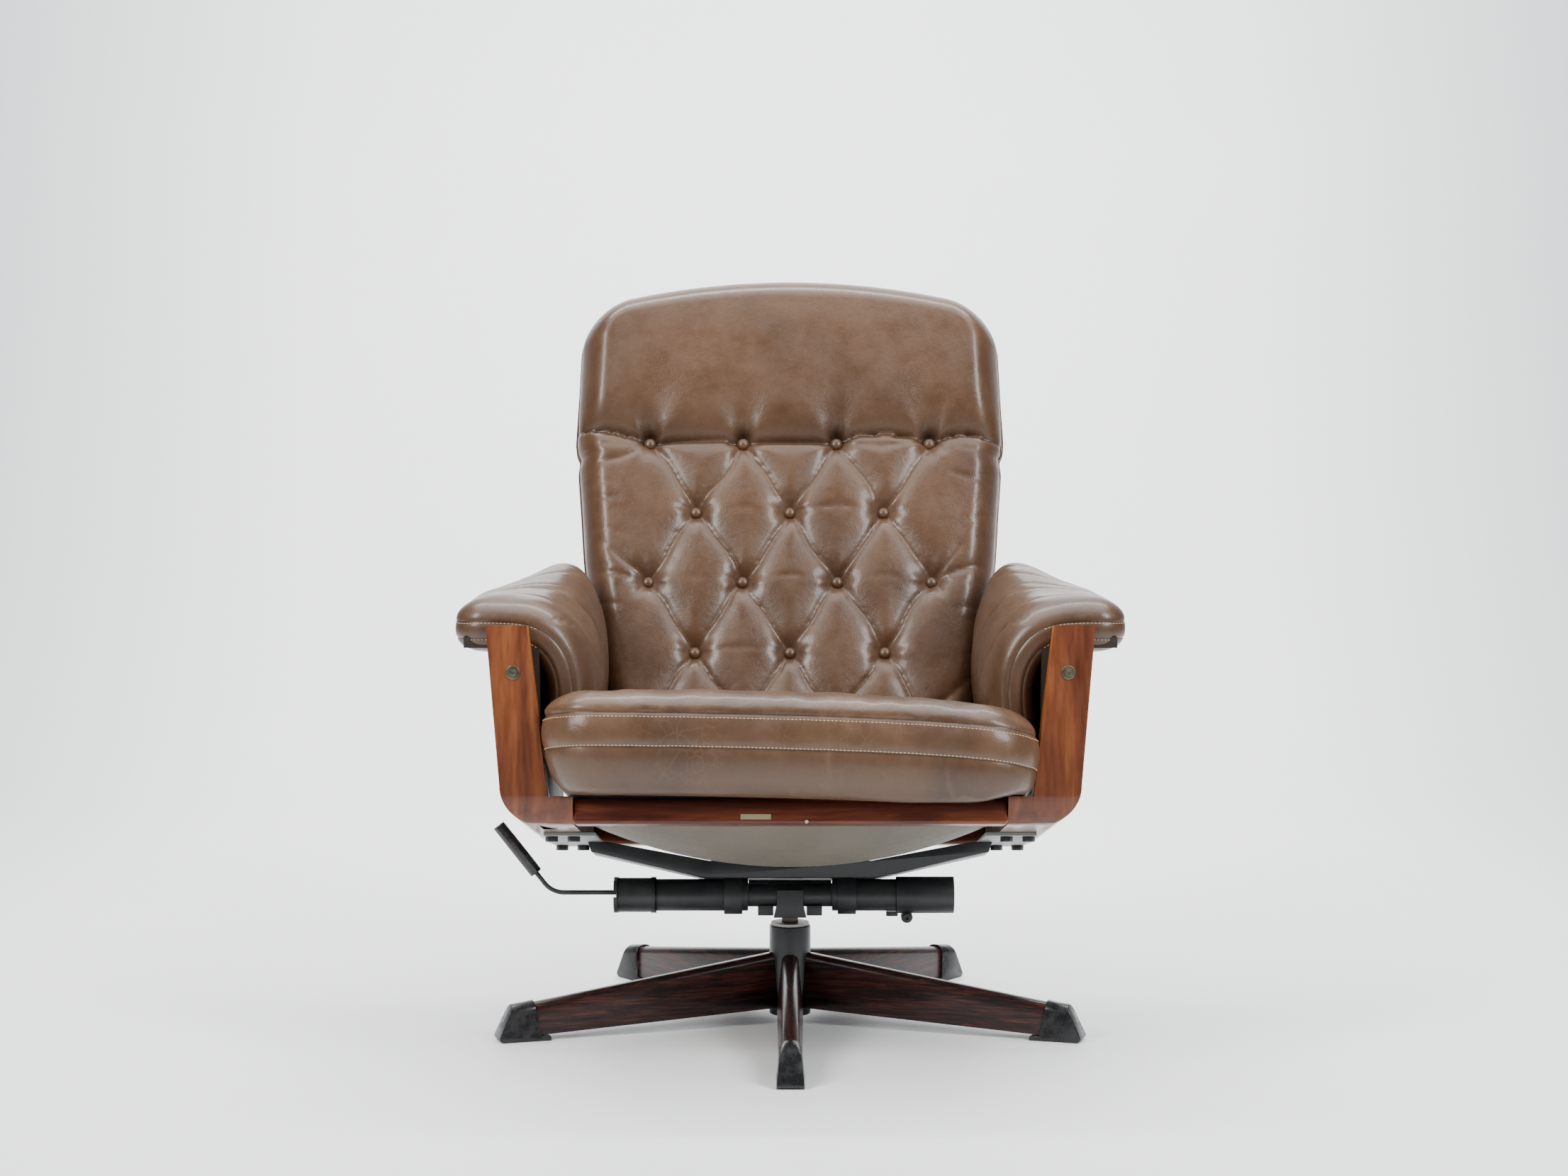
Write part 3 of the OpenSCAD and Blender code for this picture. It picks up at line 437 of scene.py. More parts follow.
POST_RED, POST_AMBER = (0.120, 0.034, 0.014), (0.22, 0.074, 0.024)
RAIL_RED, RAIL_AMBER = (0.085, 0.018, 0.009), (0.21, 0.055, 0.018)
BEND_TOP = (0.310, 0.345)  # metres: between these heights the lighter orange of the inner faces begins
post_wood = stained("post_wood", (30, 30, 3), POST_RED, POST_AMBER)
rail_wood = stained("rail_wood", (4, 50, 50), RAIL_RED, RAIL_AMBER)
for side, node in ((-1, "side_frame_left"), (1, "side_frame_right")):
    mesh = planed(node, 7 * MM)
    # the posts' inner faces above the bend are marked for a lighter orange
    inward = -side * read_normals(mesh)[:, 0]
    inner_tint = ease(0.35, 0.9, inward) * ease(*BEND_TOP, read_points(mesh)[:, 2])
    attribute = mesh.attributes.new("inner_face_tint", "FLOAT", "POINT")
    attribute.data.foreach_set("value", inner_tint.astype(np.float32))
    dress(node + "_planed", mesh, post_wood, "seat", (node,), 40)
for node, width in (("front_rail", 4), ("rear_rail", 5)):
    mesh = planed(node, width * MM)
    dress(node + "_planed", mesh, rail_wood, "seat", (node,), 40)

# ---- Boards, pan, webbing and bolts ----
# The blank plate and stud on the front rail, the moulded seat pan under the rubber webbing,
# the plywood behind the leather, stained dark on the back shell and painted near-black as painted shade on
# the arm boards, and the bolts that hold arms and back.
coat("rail_plate", moulded("blank_plate", (0.42, 0.36, 0.22), 0.35))
coat("rail_stud", moulded("stud_plastic", (0.75, 0.73, 0.68), 0.3))
# The pan's grey-beige is its own colour, darkened further as painted shade where it shows in the gap beside
# the seat cushion.
coat("seat_pan", moulded("pan_board", (0.145, 0.128, 0.102), 0.5, 260.0))
coat("seat_webbing", moulded("rubber_web", (0.035, 0.032, 0.028), 0.7))
# The arm boards are painted near-black as painted shade, where they show under the arms; the back shell's
# dark brown is its stain.
ARM_BOARD_SHADE, SHELL_STAIN = (0.022, 0.014, 0.009), (0.045, 0.028, 0.016)
for node, shade in (
        ("arm_board_left", ARM_BOARD_SHADE), ("arm_board_right", ARM_BOARD_SHADE), ("back_shell", SHELL_STAIN)):
    coat(node, moulded(node + "_ply", shade, 0.6))
antique = bare_metal("antique_brass", (0.20, 0.17, 0.12), 0.3)
for node in ("arm_bolts", "arm_washers", "back_bolts"):
    eased(node, 0.6 * MM, antique, "seat", 3)
coat("button_discs", dull_zinc)

# ---- Back cushion ----
# Buttoned leather over foam: buttons pull the cover down in rows of four and three, pleats
# run between them, and the headrest above the top row is left plump. Piped round its edge.
LEAN = math.radians(22)
BUTTON_PITCH, BUTTON_ROW, TOP_ROW = 118, 92, 321.9
BACK_HALF_WIDTH, BACK_HALF_HEIGHT, BACK_MIDDLE, BACK_TOP, CROWN_RADIUS = 264, 290, 250.0, 555, 900


def write_points(mesh, points):
    mesh.vertices.foreach_set("co", np.ascontiguousarray(points, float).ravel())
    mesh.update()


def wrapped_sheet(name, half_u, half_v, rings):
    """One sheet that covers a cushion's face and, in as many rows as there are rings, its
    sides, left open behind. Returns the mesh with each point's place: a and b, from -1 to 1
    across the ring that it is on, and the ring's number, 0 on the face."""
    last = len(rings) - 1
    bm = bmesh.new()
    bmesh.ops.create_grid(bm, x_segments=2 * (half_u + last), y_segments=2 * (half_v + last), size=1.0)
    mesh = bpy.data.meshes.new(name)
    bm.to_mesh(mesh)
    bm.free()
    flat = read_points(mesh)
    i = np.round(flat[:, 0] * (half_u + last))
    j = np.round(flat[:, 1] * (half_v + last))
    ring = np.maximum(0, np.maximum(abs(i) - half_u, abs(j) - half_v))
    return mesh, i / (half_u + ring), j / (half_v + ring), ring.astype(int)


def round_corners(a, b, share_a, share_b, only_top=False):
    """Turns the corners of the square -1..1 into quarter rounds that take up those shares."""
    p = np.clip((abs(a) - 1 + share_a) / share_a, 0, 1)
    q = np.clip((abs(b) - 1 + share_b) / share_b, 0, 1)
    if only_top:
        p = np.where(b > 0, p, 0)
        q = np.where(b > 0, q, 0)
    new_a = np.where((p > 0) & (q > 0), 1 - share_a + share_a * p * np.sqrt(1 - q * q / 2), abs(a))
    new_b = np.where((p > 0) & (q > 0), 1 - share_b + share_b * q * np.sqrt(1 - p * p / 2), abs(b))
    return np.sign(a) * new_a, np.sign(b) * new_b


def crease_depth(x, y, path, width):
    """Depth, 0 to 1, of a crease along a path of points, sharp at its middle and round beside
    it, and how far along the path each place lies, 0 to 1."""
    best = np.full(x.shape, 1e9)
    along = np.zeros(x.shape)
    path = np.array(path, float)
    spans = np.linalg.norm(np.diff(path, axis=0), axis=1)
    walked = np.concatenate([[0], np.cumsum(spans)])
    for (x0, y0), (x1, y1), span, done in zip(path, path[1:], spans, walked):
        t = np.clip(((x - x0) * (x1 - x0) + (y - y0) * (y1 - y0)) / span ** 2, 0, 1)
        gap = np.hypot(x - x0 - t * (x1 - x0), y - y0 - t * (y1 - y0))
        closer = gap < best
        best = np.where(closer, gap, best)
        along = np.where(closer, done + t * span, along)
    u = np.clip(best / width, 0, 1)
    return 1 - np.sqrt(1 - (1 - u) ** 2), along / walked[-1]


def mark_painted_shade(mesh, share):
    """Stores, 0 to 1, the painted shade at each point, for the leather to darken by: how deep it lies in a
    fold or seam groove, or on an underside.
    """
    attribute = mesh.attributes.new("painted_shade", "FLOAT", "POINT")
    attribute.data.foreach_set("value", np.clip(share, 0, 1).astype(np.float32))


def rounder(mesh):
    """The mesh after one smooth subdivision, its attributes carried along, then closed behind."""
    obj = bpy.data.objects.new("dividing", mesh)
    bpy.context.scene.collection.objects.link(obj)
    smooth = obj.modifiers.new("smooth", "SUBSURF")
    smooth.levels = smooth.render_levels = 1
    view = bpy.context.evaluated_depsgraph_get()
    finer = bpy.data.meshes.new_from_object(obj.evaluated_get(view))
    bpy.data.objects.remove(obj)
    bm = bmesh.new()
    bm.from_mesh(finer)
    rim = [next(v for v in bm.verts if v.is_boundary)]
    step = next(e for e in rim[0].link_edges if e.is_boundary)
    while step.other_vert(rim[-1]) is not rim[0]:
        rim.append(step.other_vert(rim[-1]))
        step = next(e for e in rim[-1].link_edges if e.is_boundary and e is not step)
    bm.faces.new(rim)
    bmesh.ops.recalc_face_normals(bm, faces=bm.faces)
    bm.to_mesh(finer)
    bm.free()
    return finer


def leather(name, tan, dark, shine=0.36, scuffed=0.0, centre=(0, 0, 0)):
    """Old aniline leather: clouded brown with painted shade darkening its folds, seam grooves and
    undersides (read from a point attribute), a fine grain of cells, light scratches where it is rubbed, and
    an uneven shine."""
    material, tree, bsdf, coords = new_finish(name, {
        "Specular IOR Level": 0.42, "Coat Weight": 0.22, "Coat Roughness": 0.17})
    place = placed(tree, coords, shift=centre)
    cloud = speckle(tree, place, 5.0, 5.0, 0.6, 0.4)
    patch = speckle(tree, placed(tree, coords, shift=(4, 2, 9)), 26.0, 5.0, 0.65)
    base = ramp(tree, cloud, [(0.28, dark), (0.52, tan), (0.74, tuple(c * 1.18 for c in tan))])
    fine = ramp(tree, patch, [(0.3, (0.86, 0.84, 0.82)), (0.7, (1.06, 1.05, 1.04))])
    colour = blended(tree, 1.0, base, fine, "MULTIPLY")
    # painted shade: folds, seam grooves and undersides darken to a deep brown, passing a cool blue-grey at
    # half strength
    painted_shade = add_node(tree, "ShaderNodeAttribute", attribute_name="painted_shade").outputs["Fac"]
    shade = ramp(tree, painted_shade, [
        (0.0, (1.04, 1.03, 1.02)), (0.45, (0.84, 0.86, 0.92)), (1.0, (0.34, 0.29, 0.26))])
    colour = blended(tree, 1.0, colour, shade, "MULTIPLY")
    cells = add_node(tree, "ShaderNodeTexVoronoi", {"Vector": place, "Scale": 620.0},
                     feature="DISTANCE_TO_EDGE").outputs["Distance"]
    pores = levels(tree, cells, 0.0, 0.28, 0.0, 1.0)
    bend = add_node(tree, "ShaderNodeTexNoise", {
        "Vector": coords, "Scale": 38.0, "Detail": 4.0}).outputs["Color"]
    bent = add_node(tree, "ShaderNodeVectorMath", {0: bend, 1: (0.022, 0.022, 0.022), 2: coords},
                    operation="MULTIPLY_ADD").outputs["Vector"]
    crackle = add_node(tree, "ShaderNodeTexVoronoi", {
        "Vector": placed(tree, bent, (1, 1.6, 1), (0.4, 0.2, 0.7)), "Scale": 62.0, "Randomness": 1.0},
        feature="DISTANCE_TO_EDGE").outputs["Distance"]
    line = levels(tree, crackle, 0.0, 0.07, 1.0, 0.0)
    area = speckle(tree, placed(tree, coords, shift=(7, 5, 1)), 9.0, 3.0)
    worn = maths(tree, "MULTIPLY", line, levels(tree, area, 0.48, 0.72, 0.0, 1.0))
    light = tuple(min(1.0, c * 2.3 + 0.03) for c in tan)
    colour = blended(tree, maths(tree, "MULTIPLY", worn, 0.05 + 0.14 * scuffed), colour, light)
    streak = speckle(tree, placed(tree, coords, (38, 38, 5)), 1.0, 3.0, 0.5, 0.6)
    rubbed = levels(tree, streak, 0.62, 0.80, 0.0, 0.14 + 0.2 * scuffed)
    colour = blended(tree, rubbed, colour, light)
    gloss = levels(tree, patch, 0.3, 0.72, shine - 0.07, shine + 0.13)
    colour_and_gloss(tree, bsdf, colour, gloss)
    first = add_node(tree, "ShaderNodeBump", {"Height": pores, "Strength": 0.22, "Distance": 0.0003})
    ripple = speckle(tree, placed(tree, coords, (1, 1, 1)), 75.0, 4.0, 0.6, 0.5)
    second = add_node(tree, "ShaderNodeBump", {
        "Height": ripple, "Strength": 0.35, "Distance": 0.0016, "Normal": first.outputs["Normal"]})
    third = add_node(tree, "ShaderNodeBump", {
        "Height": maths(tree, "MULTIPLY", worn, -1.0), "Strength": 0.12, "Distance": 0.0005,
        "Normal": second.outputs["Normal"]})
    tree.links.new(third.outputs["Normal"], bsdf.inputs["Normal"])
    return material


def back_world(points):
    """Points (across, through the cushion, up its slope) in mm, in the leaning back frame."""
    x, n, t = np.moveaxis(points, -1, 0)
    return np.stack([
        x, 78 + n * math.cos(LEAN) + t * math.sin(LEAN),
        400 - n * math.sin(LEAN) + t * math.cos(LEAN),
    ], -1) * MM


def back_outline(a, b, inset):
    """A place on the back's outline moved in by inset, or inside it."""
    radius = np.maximum(62 - inset, 12)
    a, b = round_corners(a, b, radius / (BACK_HALF_WIDTH - inset), radius / (BACK_HALF_HEIGHT - inset),
                         only_top=True)
    reach = np.interp(
        BACK_MIDDLE + b * BACK_HALF_HEIGHT, [-50, 60, 183, 300, 318, 328, 345, 420, 560],
        [228, 244, 258, 267, 265, 269, 271, 268, 264])
    x = a * (reach - inset)
    crown = BACK_TOP - (CROWN_RADIUS - np.sqrt(CROWN_RADIUS ** 2 - x ** 2))
    rise = np.where(b > 0, crown - inset - BACK_MIDDLE, BACK_MIDDLE + 50 - inset)
    return x, BACK_MIDDLE + b * rise


def buttons():
    return [((j - (3 - i % 2) / 2) * BUTTON_PITCH, TOP_ROW - i * BUTTON_ROW)
            for i in range(5) for j in range(4 - i % 2)]


def tufting(x, t):
    """How far the cover lies below its plumpest, in mm, at each place on the face."""
    fall = []
    points = buttons()
    rng = np.random.default_rng(4)
    for x0, t0 in points:
        for x1, t1 in points:
            if abs(t0 - t1 - BUTTON_ROW) > 1 or abs(abs(x0 - x1) - BUTTON_PITCH / 2) > 1:
                continue
            bow = rng.uniform(-5, 5)
            lift = rng.uniform(-3, 3)
            path = [(x0 + (x1 - x0) * s + bow * math.sin(math.pi * s) + 1.5 * math.sin(9 * s + x0),
                     t0 + (t1 - t0) * s + lift * math.sin(2 * math.pi * s))
                    for s in np.linspace(0, 1, 9)]
            depth, share = crease_depth(x, t, path, 46)
            fall.append(depth * (10 + 5 * (2 * share - 1) ** 2 + lift * 0.3))
    # the deep fold under the headrest, from side to side through the top row
    top = [p for p in points if p[1] > TOP_ROW - 1]
    line = [(-262, 341), (-215, 333), (-190, 325)]
    rise = [2, 1, 12]
    for k, (x0, t0) in enumerate(top):
        line.append((x0, t0 - 3))
        if k < 3:
            line += [(x0 + BUTTON_PITCH * s, t0 + rise[k] * math.sin(math.pi * s) ** 0.8)
                     for s in (0.2, 0.5, 0.8)]
    line += [(200, 330), (225, 333), (262, 324)]
    under = crease_depth(x, t, line, 40)[0]
    over = crease_depth(x, t, line, 62)[0]
    above = t > np.interp(x, [p[0] for p in line], [p[1] for p in line])
    fall.append(np.where(above, over * 27, under * 11))
    side_folds = [
        ([(59, 320), (115, 316), (177, 322)], 7, 22), ([(-188, 319), (-248, 318)], 5, 16),
        ([(-180, 316), (-214, 300), (-250, 292)], 6, 20), ([(178, 318), (225, 314), (258, 306)], 4, 15),
        ([(-177, 138), (-200, 158), (-232, 186)], 8, 26), ([(-177, 138), (-215, 146), (-250, 152)], 5, 18),
        ([(177, 138), (214, 152), (262, 163)], 9, 26), ([(177, 138), (196, 160), (212, 182)], 6, 20),
        ([(177, 138), (214, 138), (246, 132)], 3, 14), ([(-177, -40), (-215, -20), (-236, 10)], 7, 26),
        ([(177, -30), (205, -5), (232, 22)], 8, 26), ([(-118, 230), (-60, 233), (0, 230)], 2.2, 14),
        ([(0, 230), (60, 236), (118, 230)], 3.5, 18), ([(-59, 138), (0, 144), (59, 138)], 3.0, 15),
        ([(59, 138), (118, 143), (177, 138)], 2.2, 14), ([(-118, 46), (-60, 50), (0, 46)], 2.8, 14),
        ([(-118, 46), (-150, 56)], 3, 16), ([(-177, 138), (-120, 142), (-59, 138)], 1.6, 12),
        ([(0, 46), (-2, 76)], 6, 12), ([(-59, 138), (-62, 168)], 5, 14), ([(59, 138), (60, 172)], 5, 14),
        ([(177, 138), (174, 176)], 5, 14), ([(-177, 138), (-176, 170)], 4, 13),
        ([(118, 230), (121, 262)], 4, 13), ([(-118, 230), (-121, 258)], 4, 13),
    ]
    for k in range(22):
        side = -1 if k % 2 else 1
        t0 = rng.uniform(-10, 305)
        x0 = side * rng.uniform(248, 262)
        long = rng.uniform(22, 58)
        slope = rng.uniform(-0.25, 0.75)
        side_folds.append((
            [(x0, t0), (x0 - side * long * 0.6, t0 - slope * long * 0.4),
             (x0 - side * long, t0 - slope * long)],
            rng.uniform(1.5, 3.4), rng.uniform(9, 15)))
    for path, depth, width in side_folds:
        cut, share = crease_depth(x, t, path, width)
        fall.append(cut * depth * (1 - 0.55 * share))
    stack = np.stack(fall)
    total = (stack ** 4).sum(0) ** 0.25
    for k, (x0, t0) in enumerate(points):
        r = np.hypot(x - x0, t - t0)
        angle = np.arctan2(t - t0, x - x0)
        total += 6.5 * np.exp(-(r / 15) ** 2)
        ring = np.exp(-((r - 15) / 12) ** 2)
        total += 0.9 * ring * np.cos(7 * angle + 1.3 * k) * (1 + 0.5 * np.cos(3 * angle + k))
    for k, (x0, t0) in enumerate(top):
        h = t - t0
        for lean_in, size in ((0.0, 13), (0.32, 6), (-0.36, 6)):
            off = x - x0 - lean_in * h
            cone = np.exp(-(off / (5 + 0.22 * np.maximum(h, 0))) ** 2) * np.exp(-np.maximum(h, 0) / 42)
            total += np.where(h > 0, size * cone * ease(0, 12, h), 0)
    return total


def rounded_edge(inset, depth, steps):
    """Rings, as (inset, depth), from a face over its rounded edge to where the side begins."""
    return [(inset * (1 - math.sin(s)), depth * (1 - math.cos(s)))
            for s in np.linspace(0, math.pi / 2, steps)]


def make_back_cushion():
    """The cover's mesh, each point's ring, and how far it falls below the plumpest place."""
    edge = 34
    side = [(0, 5), (0.5, 10), (2, 16), (5, 22), (9, 26), (16, 27.5)]
    rings = np.array(rounded_edge(edge, edge, 13) + [(inset, edge + depth) for inset, depth in side])
    mesh, a, b, ring = wrapped_sheet("back_cushion_cover", 58, 70, rings)
    inset, depth = rings[ring, 0], rings[ring, 1]
    x, t = back_outline(a, b, inset)
    face = 1 - ease(0, 11, ring)
    fall = tufting(x, t)
    puff = 17 - fall
    puff += 5 * ease(330, 420, t) * (1 - ease(470, 555, t))
    x = x + np.sign(x) * (0.10 * (puff - 12) * ease(5, 12, ring) * (1 - ease(13, 17, ring)))
    n = depth - puff * (0.12 + 0.88 * face) * (1 - ease(12, 16, ring))
    write_points(mesh, back_world(np.stack([x, n, t], -1)))
    return mesh, ring, fall


BROWN = (0.082, 0.040, 0.0185)
DEEP = (0.050, 0.024, 0.012)
hide = leather("back_leather", BROWN, DEEP)
mesh, ring, fall = make_back_cushion()
# painted shade: the deepest tufting creases are darkened
mark_painted_shade(mesh, ease(9, 27, fall) * (ring < 11))
back = dress("back_cushion_leather", rounder(mesh), hide, "seat", ("back_cushion",), None)


def back_piping():
    """The piping's path: up one side of the back, over its top and down the other."""
    turn = np.linspace(0, 1, 400, endpoint=False) * 8
    a = np.clip(np.abs((turn - 1) % 8 - 4) - 2, -1, 1)
    b = np.clip(np.abs((turn + 1) % 8 - 4) - 2, -1, 1)
    x, t = back_outline(a, b, np.full(a.shape, -1.0))
    keep = t > -45
    order = np.argsort(np.arctan2(x[keep], 200 - t[keep]))
    x, t = x[keep][order], t[keep][order]
    return back_world(np.stack([x, np.full(x.shape, 45.0), t], -1))


def piping(name, points, radius, material, sides=8):
    """A round cord along a path: a flat grid rolled up round it, joined and closed."""
    last = len(points) - 1
    bm = bmesh.new()
    bmesh.ops.create_grid(bm, x_segments=sides, y_segments=last, size=0.5)
    mesh = bpy.data.meshes.new(name)
    bm.to_mesh(mesh)
    bm.free()
    flat = read_points(mesh)[:, :2] + 0.5
    turn = flat[:, 0] * 2 * math.pi
    index = np.round(flat[:, 1] * last).astype(int)
    way = np.vstack([points[1:], points[-1:]]) - np.vstack([points[:1], points[:-1]])
    way /= np.linalg.norm(way, axis=1, keepdims=True)
    across = np.cross(way, np.array([0.3, 0.5, 0.81]))
    across /= np.linalg.norm(across, axis=1, keepdims=True)
    over = np.cross(way, across)
    write_points(mesh, points[index] + radius * (
        np.cos(turn)[:, None] * across[index] + np.sin(turn)[:, None] * over[index]))
    bm = bmesh.new()
    bm.from_mesh(mesh)
    bmesh.ops.remove_doubles(bm, verts=bm.verts, dist=0.001 * MM)
    bmesh.ops.holes_fill(bm, edges=bm.edges, sides=0)
    bmesh.ops.recalc_face_normals(bm, faces=bm.faces)
    return finish_piece(name, bm, material, "seat")


piping("back_piping", back_piping(), 2.3 * MM, hide)
BUTTON_PROFILE = [(0.0, -4.6), (3.4, -4.2), (5.8, -2.8), (7.3, -0.6), (7.6, 1.4), (6.8, 3.0), (0.0, 3.4)]
BUTTON_PROUD = 1.2


def make_buttons():
    """Domed leather buttons, spun from their profile, each let into the cover's dimple."""
    bm = bmesh.new()
    for x, t in buttons():
        if t < 0:
            continue
        outline = [bm.verts.new((r, n, 0)) for r, n in BUTTON_PROFILE]
        edges = [bm.edges.new(pair) for pair in zip(outline, outline[1:])]
        bmesh.ops.spin(bm, geom=outline + edges, cent=(0, 0, 0), axis=(0, 1, 0),
                       angle=2 * math.pi, steps=28, use_merge=True)
        for v in [v for v in bm.verts if not v.tag]:
            v.tag = True
            v.co = Vector(back_world(np.array([v.co.x + x, v.co.y - BUTTON_PROUD, v.co.z + t])))
    bmesh.ops.remove_doubles(bm, verts=bm.verts, dist=0.001 * MM)
    bmesh.ops.recalc_face_normals(bm, faces=bm.faces)
    return finish_piece("leather_buttons", bm, hide, "seat", ("back_buttons",), 60)


make_buttons()
rear = leather("rear_leather", tuple(c * 0.8 for c in BROWN), DEEP, 0.42)
eased("back_cover", 2 * MM, rear, "seat", 3)

# ---- Seat cushion ----
# Foam and feathers in a boxed leather cover: a worn top panel, a boxing strip with a
# topstitched seam above and below, and a smooth panel under it. It lies on the webbing.
RAKE = math.radians(12)
SEAT_HALF_WIDTH, SEAT_HALF_DEPTH, SEAT_MIDDLE, SEAT_FLOOR = 275, 209, -196, 99
STRIP_TOP, STRIP_FOOT = 27, 66
STITCH_PITCH, STITCH_LIFT = 4.4 * MM, 0.1 * MM


def seat_world(points):
    """Points (across, along the seat, square to it) in mm, in the raked seat frame."""
    x, v, w = np.moveaxis(points, -1, 0)
    return np.stack([
        x, v * math.cos(RAKE) + w * math.sin(RAKE),
        156 - v * math.sin(RAKE) + w * math.cos(RAKE),
    ], -1) * MM


def clouds(points, size, seed, depth=2):
    """Smooth random heights about zero, from Blender's own noise, with bumps of that size."""
    shift = Vector((seed * 13.7, seed * 7.3, seed * 3.1))
    return np.array([
        noise.fractal(Vector(p) / size + shift, 0.7, 2.0, depth) for p in points
    ])


def seat_rings():
    """Rings from the top over its edge, down the strip between both seams, and under."""
    strip = [(1.6, 25), (2.4, 26.5), (0.6, 28), (-1.2, 31), (-2.6, 38), (-3.2, 45), (-2.6, 52),
             (-1.2, 59), (0.6, 63), (2.4, 64.5), (1.0, 66)]
    belly = [(2, 72), (6, 82), (13, 94), (23, 104), (35, 111), (48, 114), (62, 112), (78, 105.5)]
    return np.array(rounded_edge(45, 26, 9)[:-1] + strip + belly)


def seam_height(x):
    """Height of the upper seam above the seat's plane: it sags towards the right."""
    u = x / 272
    return 179 - 8 * u - 4 * u * u - 7 * np.clip(u, 0, 1) ** 4


def make_seat():
    rings = seat_rings()
    mesh, a, b, ring = wrapped_sheet("seat_cover", 56, 44, rings)
    inset, depth = rings[ring, 0], rings[ring, 1]
    radius = np.maximum(62 - inset, 10)
    reach_x, reach_v = SEAT_HALF_WIDTH - inset, SEAT_HALF_DEPTH - inset
    a, b = round_corners(a, b, radius / reach_x, radius / reach_v)
    x = a * reach_x
    v = SEAT_MIDDLE + b * reach_v
    seam = seam_height(x)
    crown = 12 * (1 - (x / SEAT_HALF_WIDTH) ** 2) * (1 - ((v - SEAT_MIDDLE) / SEAT_HALF_DEPTH) ** 2)
    upper = seam + STRIP_TOP - depth + crown * (ring < 5)
    hang = np.clip(depth - STRIP_FOOT, 0, None)
    sag = np.interp(hang, [0, 6, 16, 28, 38, 45, 48, 46, 40], [0, 8, 22, 36, 44, 48, 50, 49, 45])
    # the belly hangs lowest at the front, between its two ends
    loose = ease(-300, -345, v) * (1 - ease(200, 268, abs(x)))
    lower = np.maximum(seam + STRIP_TOP - STRIP_FOOT - sag - 3 * loose, SEAT_FLOOR - 12 * loose)
    w = np.where(depth <= STRIP_FOOT, upper, lower)
    w = np.where(ring == len(rings) - 1, np.maximum(w, SEAT_FLOOR), w)
    write_points(mesh, seat_world(np.stack([x, v, w], -1)))
    return mesh, ring


def ring_path(mesh, ring, number, rear_limit):
    """The points of one ring in order round the front of a cushion, from side to side."""
    spots = read_points(mesh)[ring == number]
    middle = spots.mean(0)
    spots = spots[np.argsort(np.arctan2(spots[:, 0] - middle[0], middle[1] - spots[:, 1]))]
    return spots[spots[:, 1] < rear_limit]


def surface_of(mesh):
    bm = bmesh.new()
    bm.from_mesh(mesh)
    tree = BVHTree.FromBMesh(bm)
    bm.free()
    return tree


def stitches(name, path, size, surface):
    """A row of thread stitches along a path: short flat lozenges laid end to end."""
    walked = np.concatenate([[0], np.cumsum(np.linalg.norm(np.diff(path, axis=0), axis=1))])
    spots = np.arange(STITCH_PITCH / 2, walked[-1], STITCH_PITCH)
    at = np.stack([np.interp(spots, walked, path[:, k]) for k in range(3)], -1)
    bm = bmesh.new()
    for k, spot in enumerate(at):
        way = Vector(at[min(k + 1, len(at) - 1)] - at[max(k - 1, 0)]).normalized()
        near, normal = surface.find_nearest(Vector(spot))[:2]
        side = normal.cross(way).normalized()
        turned = Matrix((way, side, normal)).transposed().to_4x4()
        bmesh.ops.create_uvsphere(
            bm, u_segments=6, v_segments=4, radius=1.0,
            matrix=Matrix.Translation(near + normal * STITCH_LIFT) @ turned @ Matrix.Diagonal((*size, 1)))
    return finish_piece(name, bm, thread, "seat")


thread = moulded("tan_thread", (0.50, 0.34, 0.18), 0.6, 900.0)
seat_hide = leather("seat_leather", (0.090, 0.046, 0.022), DEEP, 0.38, 0.6)
mesh, ring = make_seat()
spots = read_points(mesh)
bumps = clouds(spots, 0.055, 3) * (ring < 8) + 0.35 * clouds(spots, 0.02, 5) * (ring < 18)
write_points(mesh, spots + read_normals(mesh) * (bumps * 1.9 * MM)[:, None])
rows = [ring_path(mesh, ring, number, 0.0) for number in (11, 16)]
# painted shade: both seam grooves are darkened, and the whole belly under the cushion at a little under
# half strength
mark_painted_shade(mesh, np.where((ring == 9) | (ring == 17), 0.9, np.where(ring > 18, 0.42, 0.0)))
mesh = rounder(mesh)
seat = dress("seat_cushion_leather", mesh, seat_hide, "seat", ("seat_cushion",), None)
skin = surface_of(mesh)
for k, path in enumerate(rows):
    stitches(f"seat_stitches_{k + 1}", path, (1.8 * MM, 0.6 * MM, 0.55 * MM), skin)

# ---- Arm pads ----
# One sheet of leather over each arm: flat over the shelf, boxed in front and outside, and
# carried over the inner edge as a panel that drops behind the seat cushion.
ARM_SPINE = [(383, 533), (345, 535), (300, 533), (268, 522), (243, 499), (228, 467), (224, 430),
             (228, 385), (240, 335)]
ARM_FRONT, ARM_REAR = -252.0, 118.0
POST_SIDE = 0.285  # metres from the middle: the stitches stop at the post


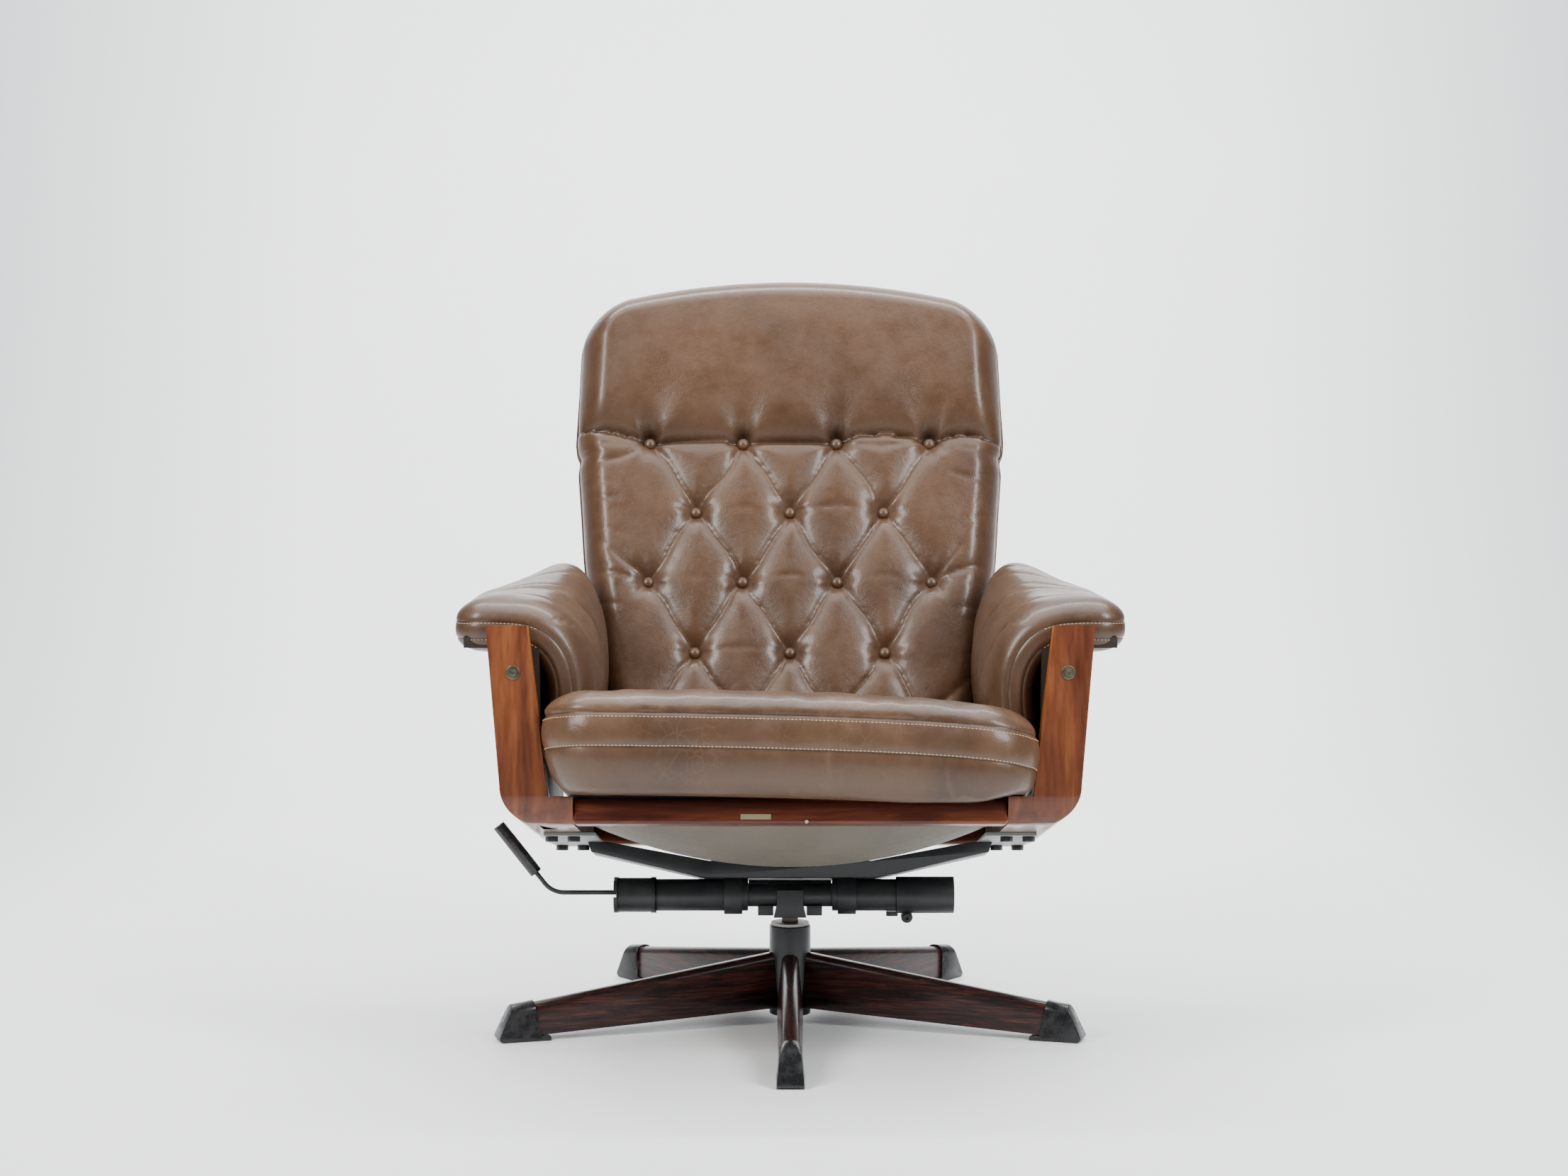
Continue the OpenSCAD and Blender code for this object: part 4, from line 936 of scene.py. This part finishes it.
def spine_at(c, y):
    """Place and outward normal of an arm's top sheet, c mm from its outer edge, at depth y,
    and the sheet's whole width. The spine's corners are cut round three times."""
    knots = np.array(ARM_SPINE, float)
    for _ in range(3):
        inner = np.empty((2 * len(knots) - 2, 2))
        inner[0::2] = 0.75 * knots[:-1] + 0.25 * knots[1:]
        inner[1::2] = 0.25 * knots[:-1] + 0.75 * knots[1:]
        knots = np.vstack([knots[:1], inner, knots[-1:]])
    walked = np.concatenate([[0], np.cumsum(np.linalg.norm(np.diff(knots, axis=0), axis=1))])
    (x, z), (ahead_x, ahead_z), (behind_x, behind_z) = [
        [np.interp(place, walked, knots[:, k]) for k in (0, 1)] for place in (c, c + 4, c - 4)]
    way_x, way_z = ahead_x - behind_x, ahead_z - behind_z
    long = np.hypot(way_x, way_z)
    rise = ease(-170, 90, y)
    z = z + 34 * rise * np.exp(-((c - 128) / 62) ** 2) - 8 * rise * np.exp(-(c / 60) ** 2)
    x = x - 20 * ease(-60, 130, y) * np.exp(-(c / 70) ** 2)
    return x, z, way_z / long, -way_x / long, walked[-1]


def arm_folds(c, y, seed):
    """Depth of the folds: each is a path of (c, y), its depth and its width. The last six are
    pleats low on the drop panel, which deepen as they go down."""
    folds = [
        ([(28, -196), (95, -168), (170, -182), (240, -214)], 3.6, 16),
        ([(14, -118), (80, -100), (150, -78), (220, -30), (262, 20)], 4.2, 17),
        ([(10, -96), (70, -78), (120, -62)], 2.4, 11), ([(120, -222), (170, -196), (215, -150)], 3.0, 14),
        ([(30, -20), (90, -6), (150, 22)], 2.6, 16), ([(60, 40), (120, 52), (170, 70)], 2.2, 14),
        ([(116, -243), (128, -228), (150, -206)], 4.5, 12),
    ]
    over_top = len(folds)
    folds += [([(232 + 6 * k, -206 + 38 * k), (330, -212 + 42 * k)], 3.4, 15) for k in range(6)]
    total = np.zeros(c.shape)
    for k, (path, depth, width) in enumerate(folds):
        path = [(p + 4 * math.sin(3.1 * k + seed), q + 5 * math.sin(1.7 * k + 2 * seed)) for p, q in path]
        cut, share = crease_depth(c, y, path, width)
        fade = share if k >= over_top else 1 - 0.6 * np.abs(2 * share - 1)
        total += cut * depth * np.clip(fade, 0, 1)
    return total


def arm_rings():
    strip = [(0.8, 23.4), (1.8, 24.6), (0.4, 26), (-0.7, 29), (-1.2, 34), (-0.6, 39), (0.6, 42),
             (2.0, 43.5), (1.2, 45)]
    belly = [(3, 49.5), (9, 55), (18, 59), (32, 61.5)]
    return np.array(rounded_edge(46, 24, 7)[:-1] + strip + belly)


def make_arm(side, seed):
    rings = arm_rings()
    mesh, a, b, ring = wrapped_sheet(f"arm_cover_{seed}", 46, 52, rings)
    inset, depth = rings[ring, 0], rings[ring, 1]
    half_c, half_y = spine_at(np.zeros(1), np.zeros(1))[4] / 2, (ARM_REAR - ARM_FRONT) / 2
    radius = np.maximum(34 - inset, 8)
    a, b = round_corners(a, b, radius / (half_c - inset), radius / (half_y - inset))
    c = half_c - a * (half_c - inset)
    y = (ARM_FRONT + ARM_REAR) / 2 + b * (half_y - inset)
    thick = np.interp(c, [60, 150, 220], [1.0, 0.95, 0.86])
    fall = arm_folds(c, y, seed)
    x, z, out_x, out_z, _ = spine_at(c, y)
    puff = 2.0 - fall + 3 * (1 - a ** 2) * (1 - b ** 2)
    lift = puff * (1 - ease(1, 7, ring)) - depth * thick
    write_points(mesh, np.stack([side * (x + out_x * lift), y, z + out_z * lift], -1) * MM)
    return mesh, ring, fall


for seed, side, label in ((1, -1, "left"), (2, 1, "right")):
    mesh, ring, fall = make_arm(side, seed)
    spots = read_points(mesh)
    bumps = clouds(spots, 0.07, 10 + seed) * (ring < 8)
    write_points(mesh, spots + read_normals(mesh) * (bumps * 1.6 * MM)[:, None])
    rows = [ring_path(mesh, ring, number, 0.09) for number in (8, 14)]
    # painted shade: the arm's folds at half strength and both seam grooves are darkened
    seam_shade = np.where((ring == 7) | (ring == 13), 0.85, 0.0)
    mark_painted_shade(mesh, np.maximum(ease(1.5, 5, fall) * 0.5, seam_shade))
    mesh = rounder(mesh)
    arm_hide = leather(f"arm_leather_{label}", (0.078, 0.040, 0.020), DEEP, 0.38, 0.2, (side, 0, 0))
    pad = dress(f"arm_pad_{label}_leather", mesh, arm_hide, "seat", (f"arm_pad_{label}",), None)
    skin = surface_of(mesh)
    for k, path in enumerate(rows):
        path = path[np.abs(path[:, 0]) > POST_SIDE]
        stitches(f"arm_stitches_{label}_{k + 1}", path, (1.7 * MM, 0.55 * MM, 0.5 * MM), skin)
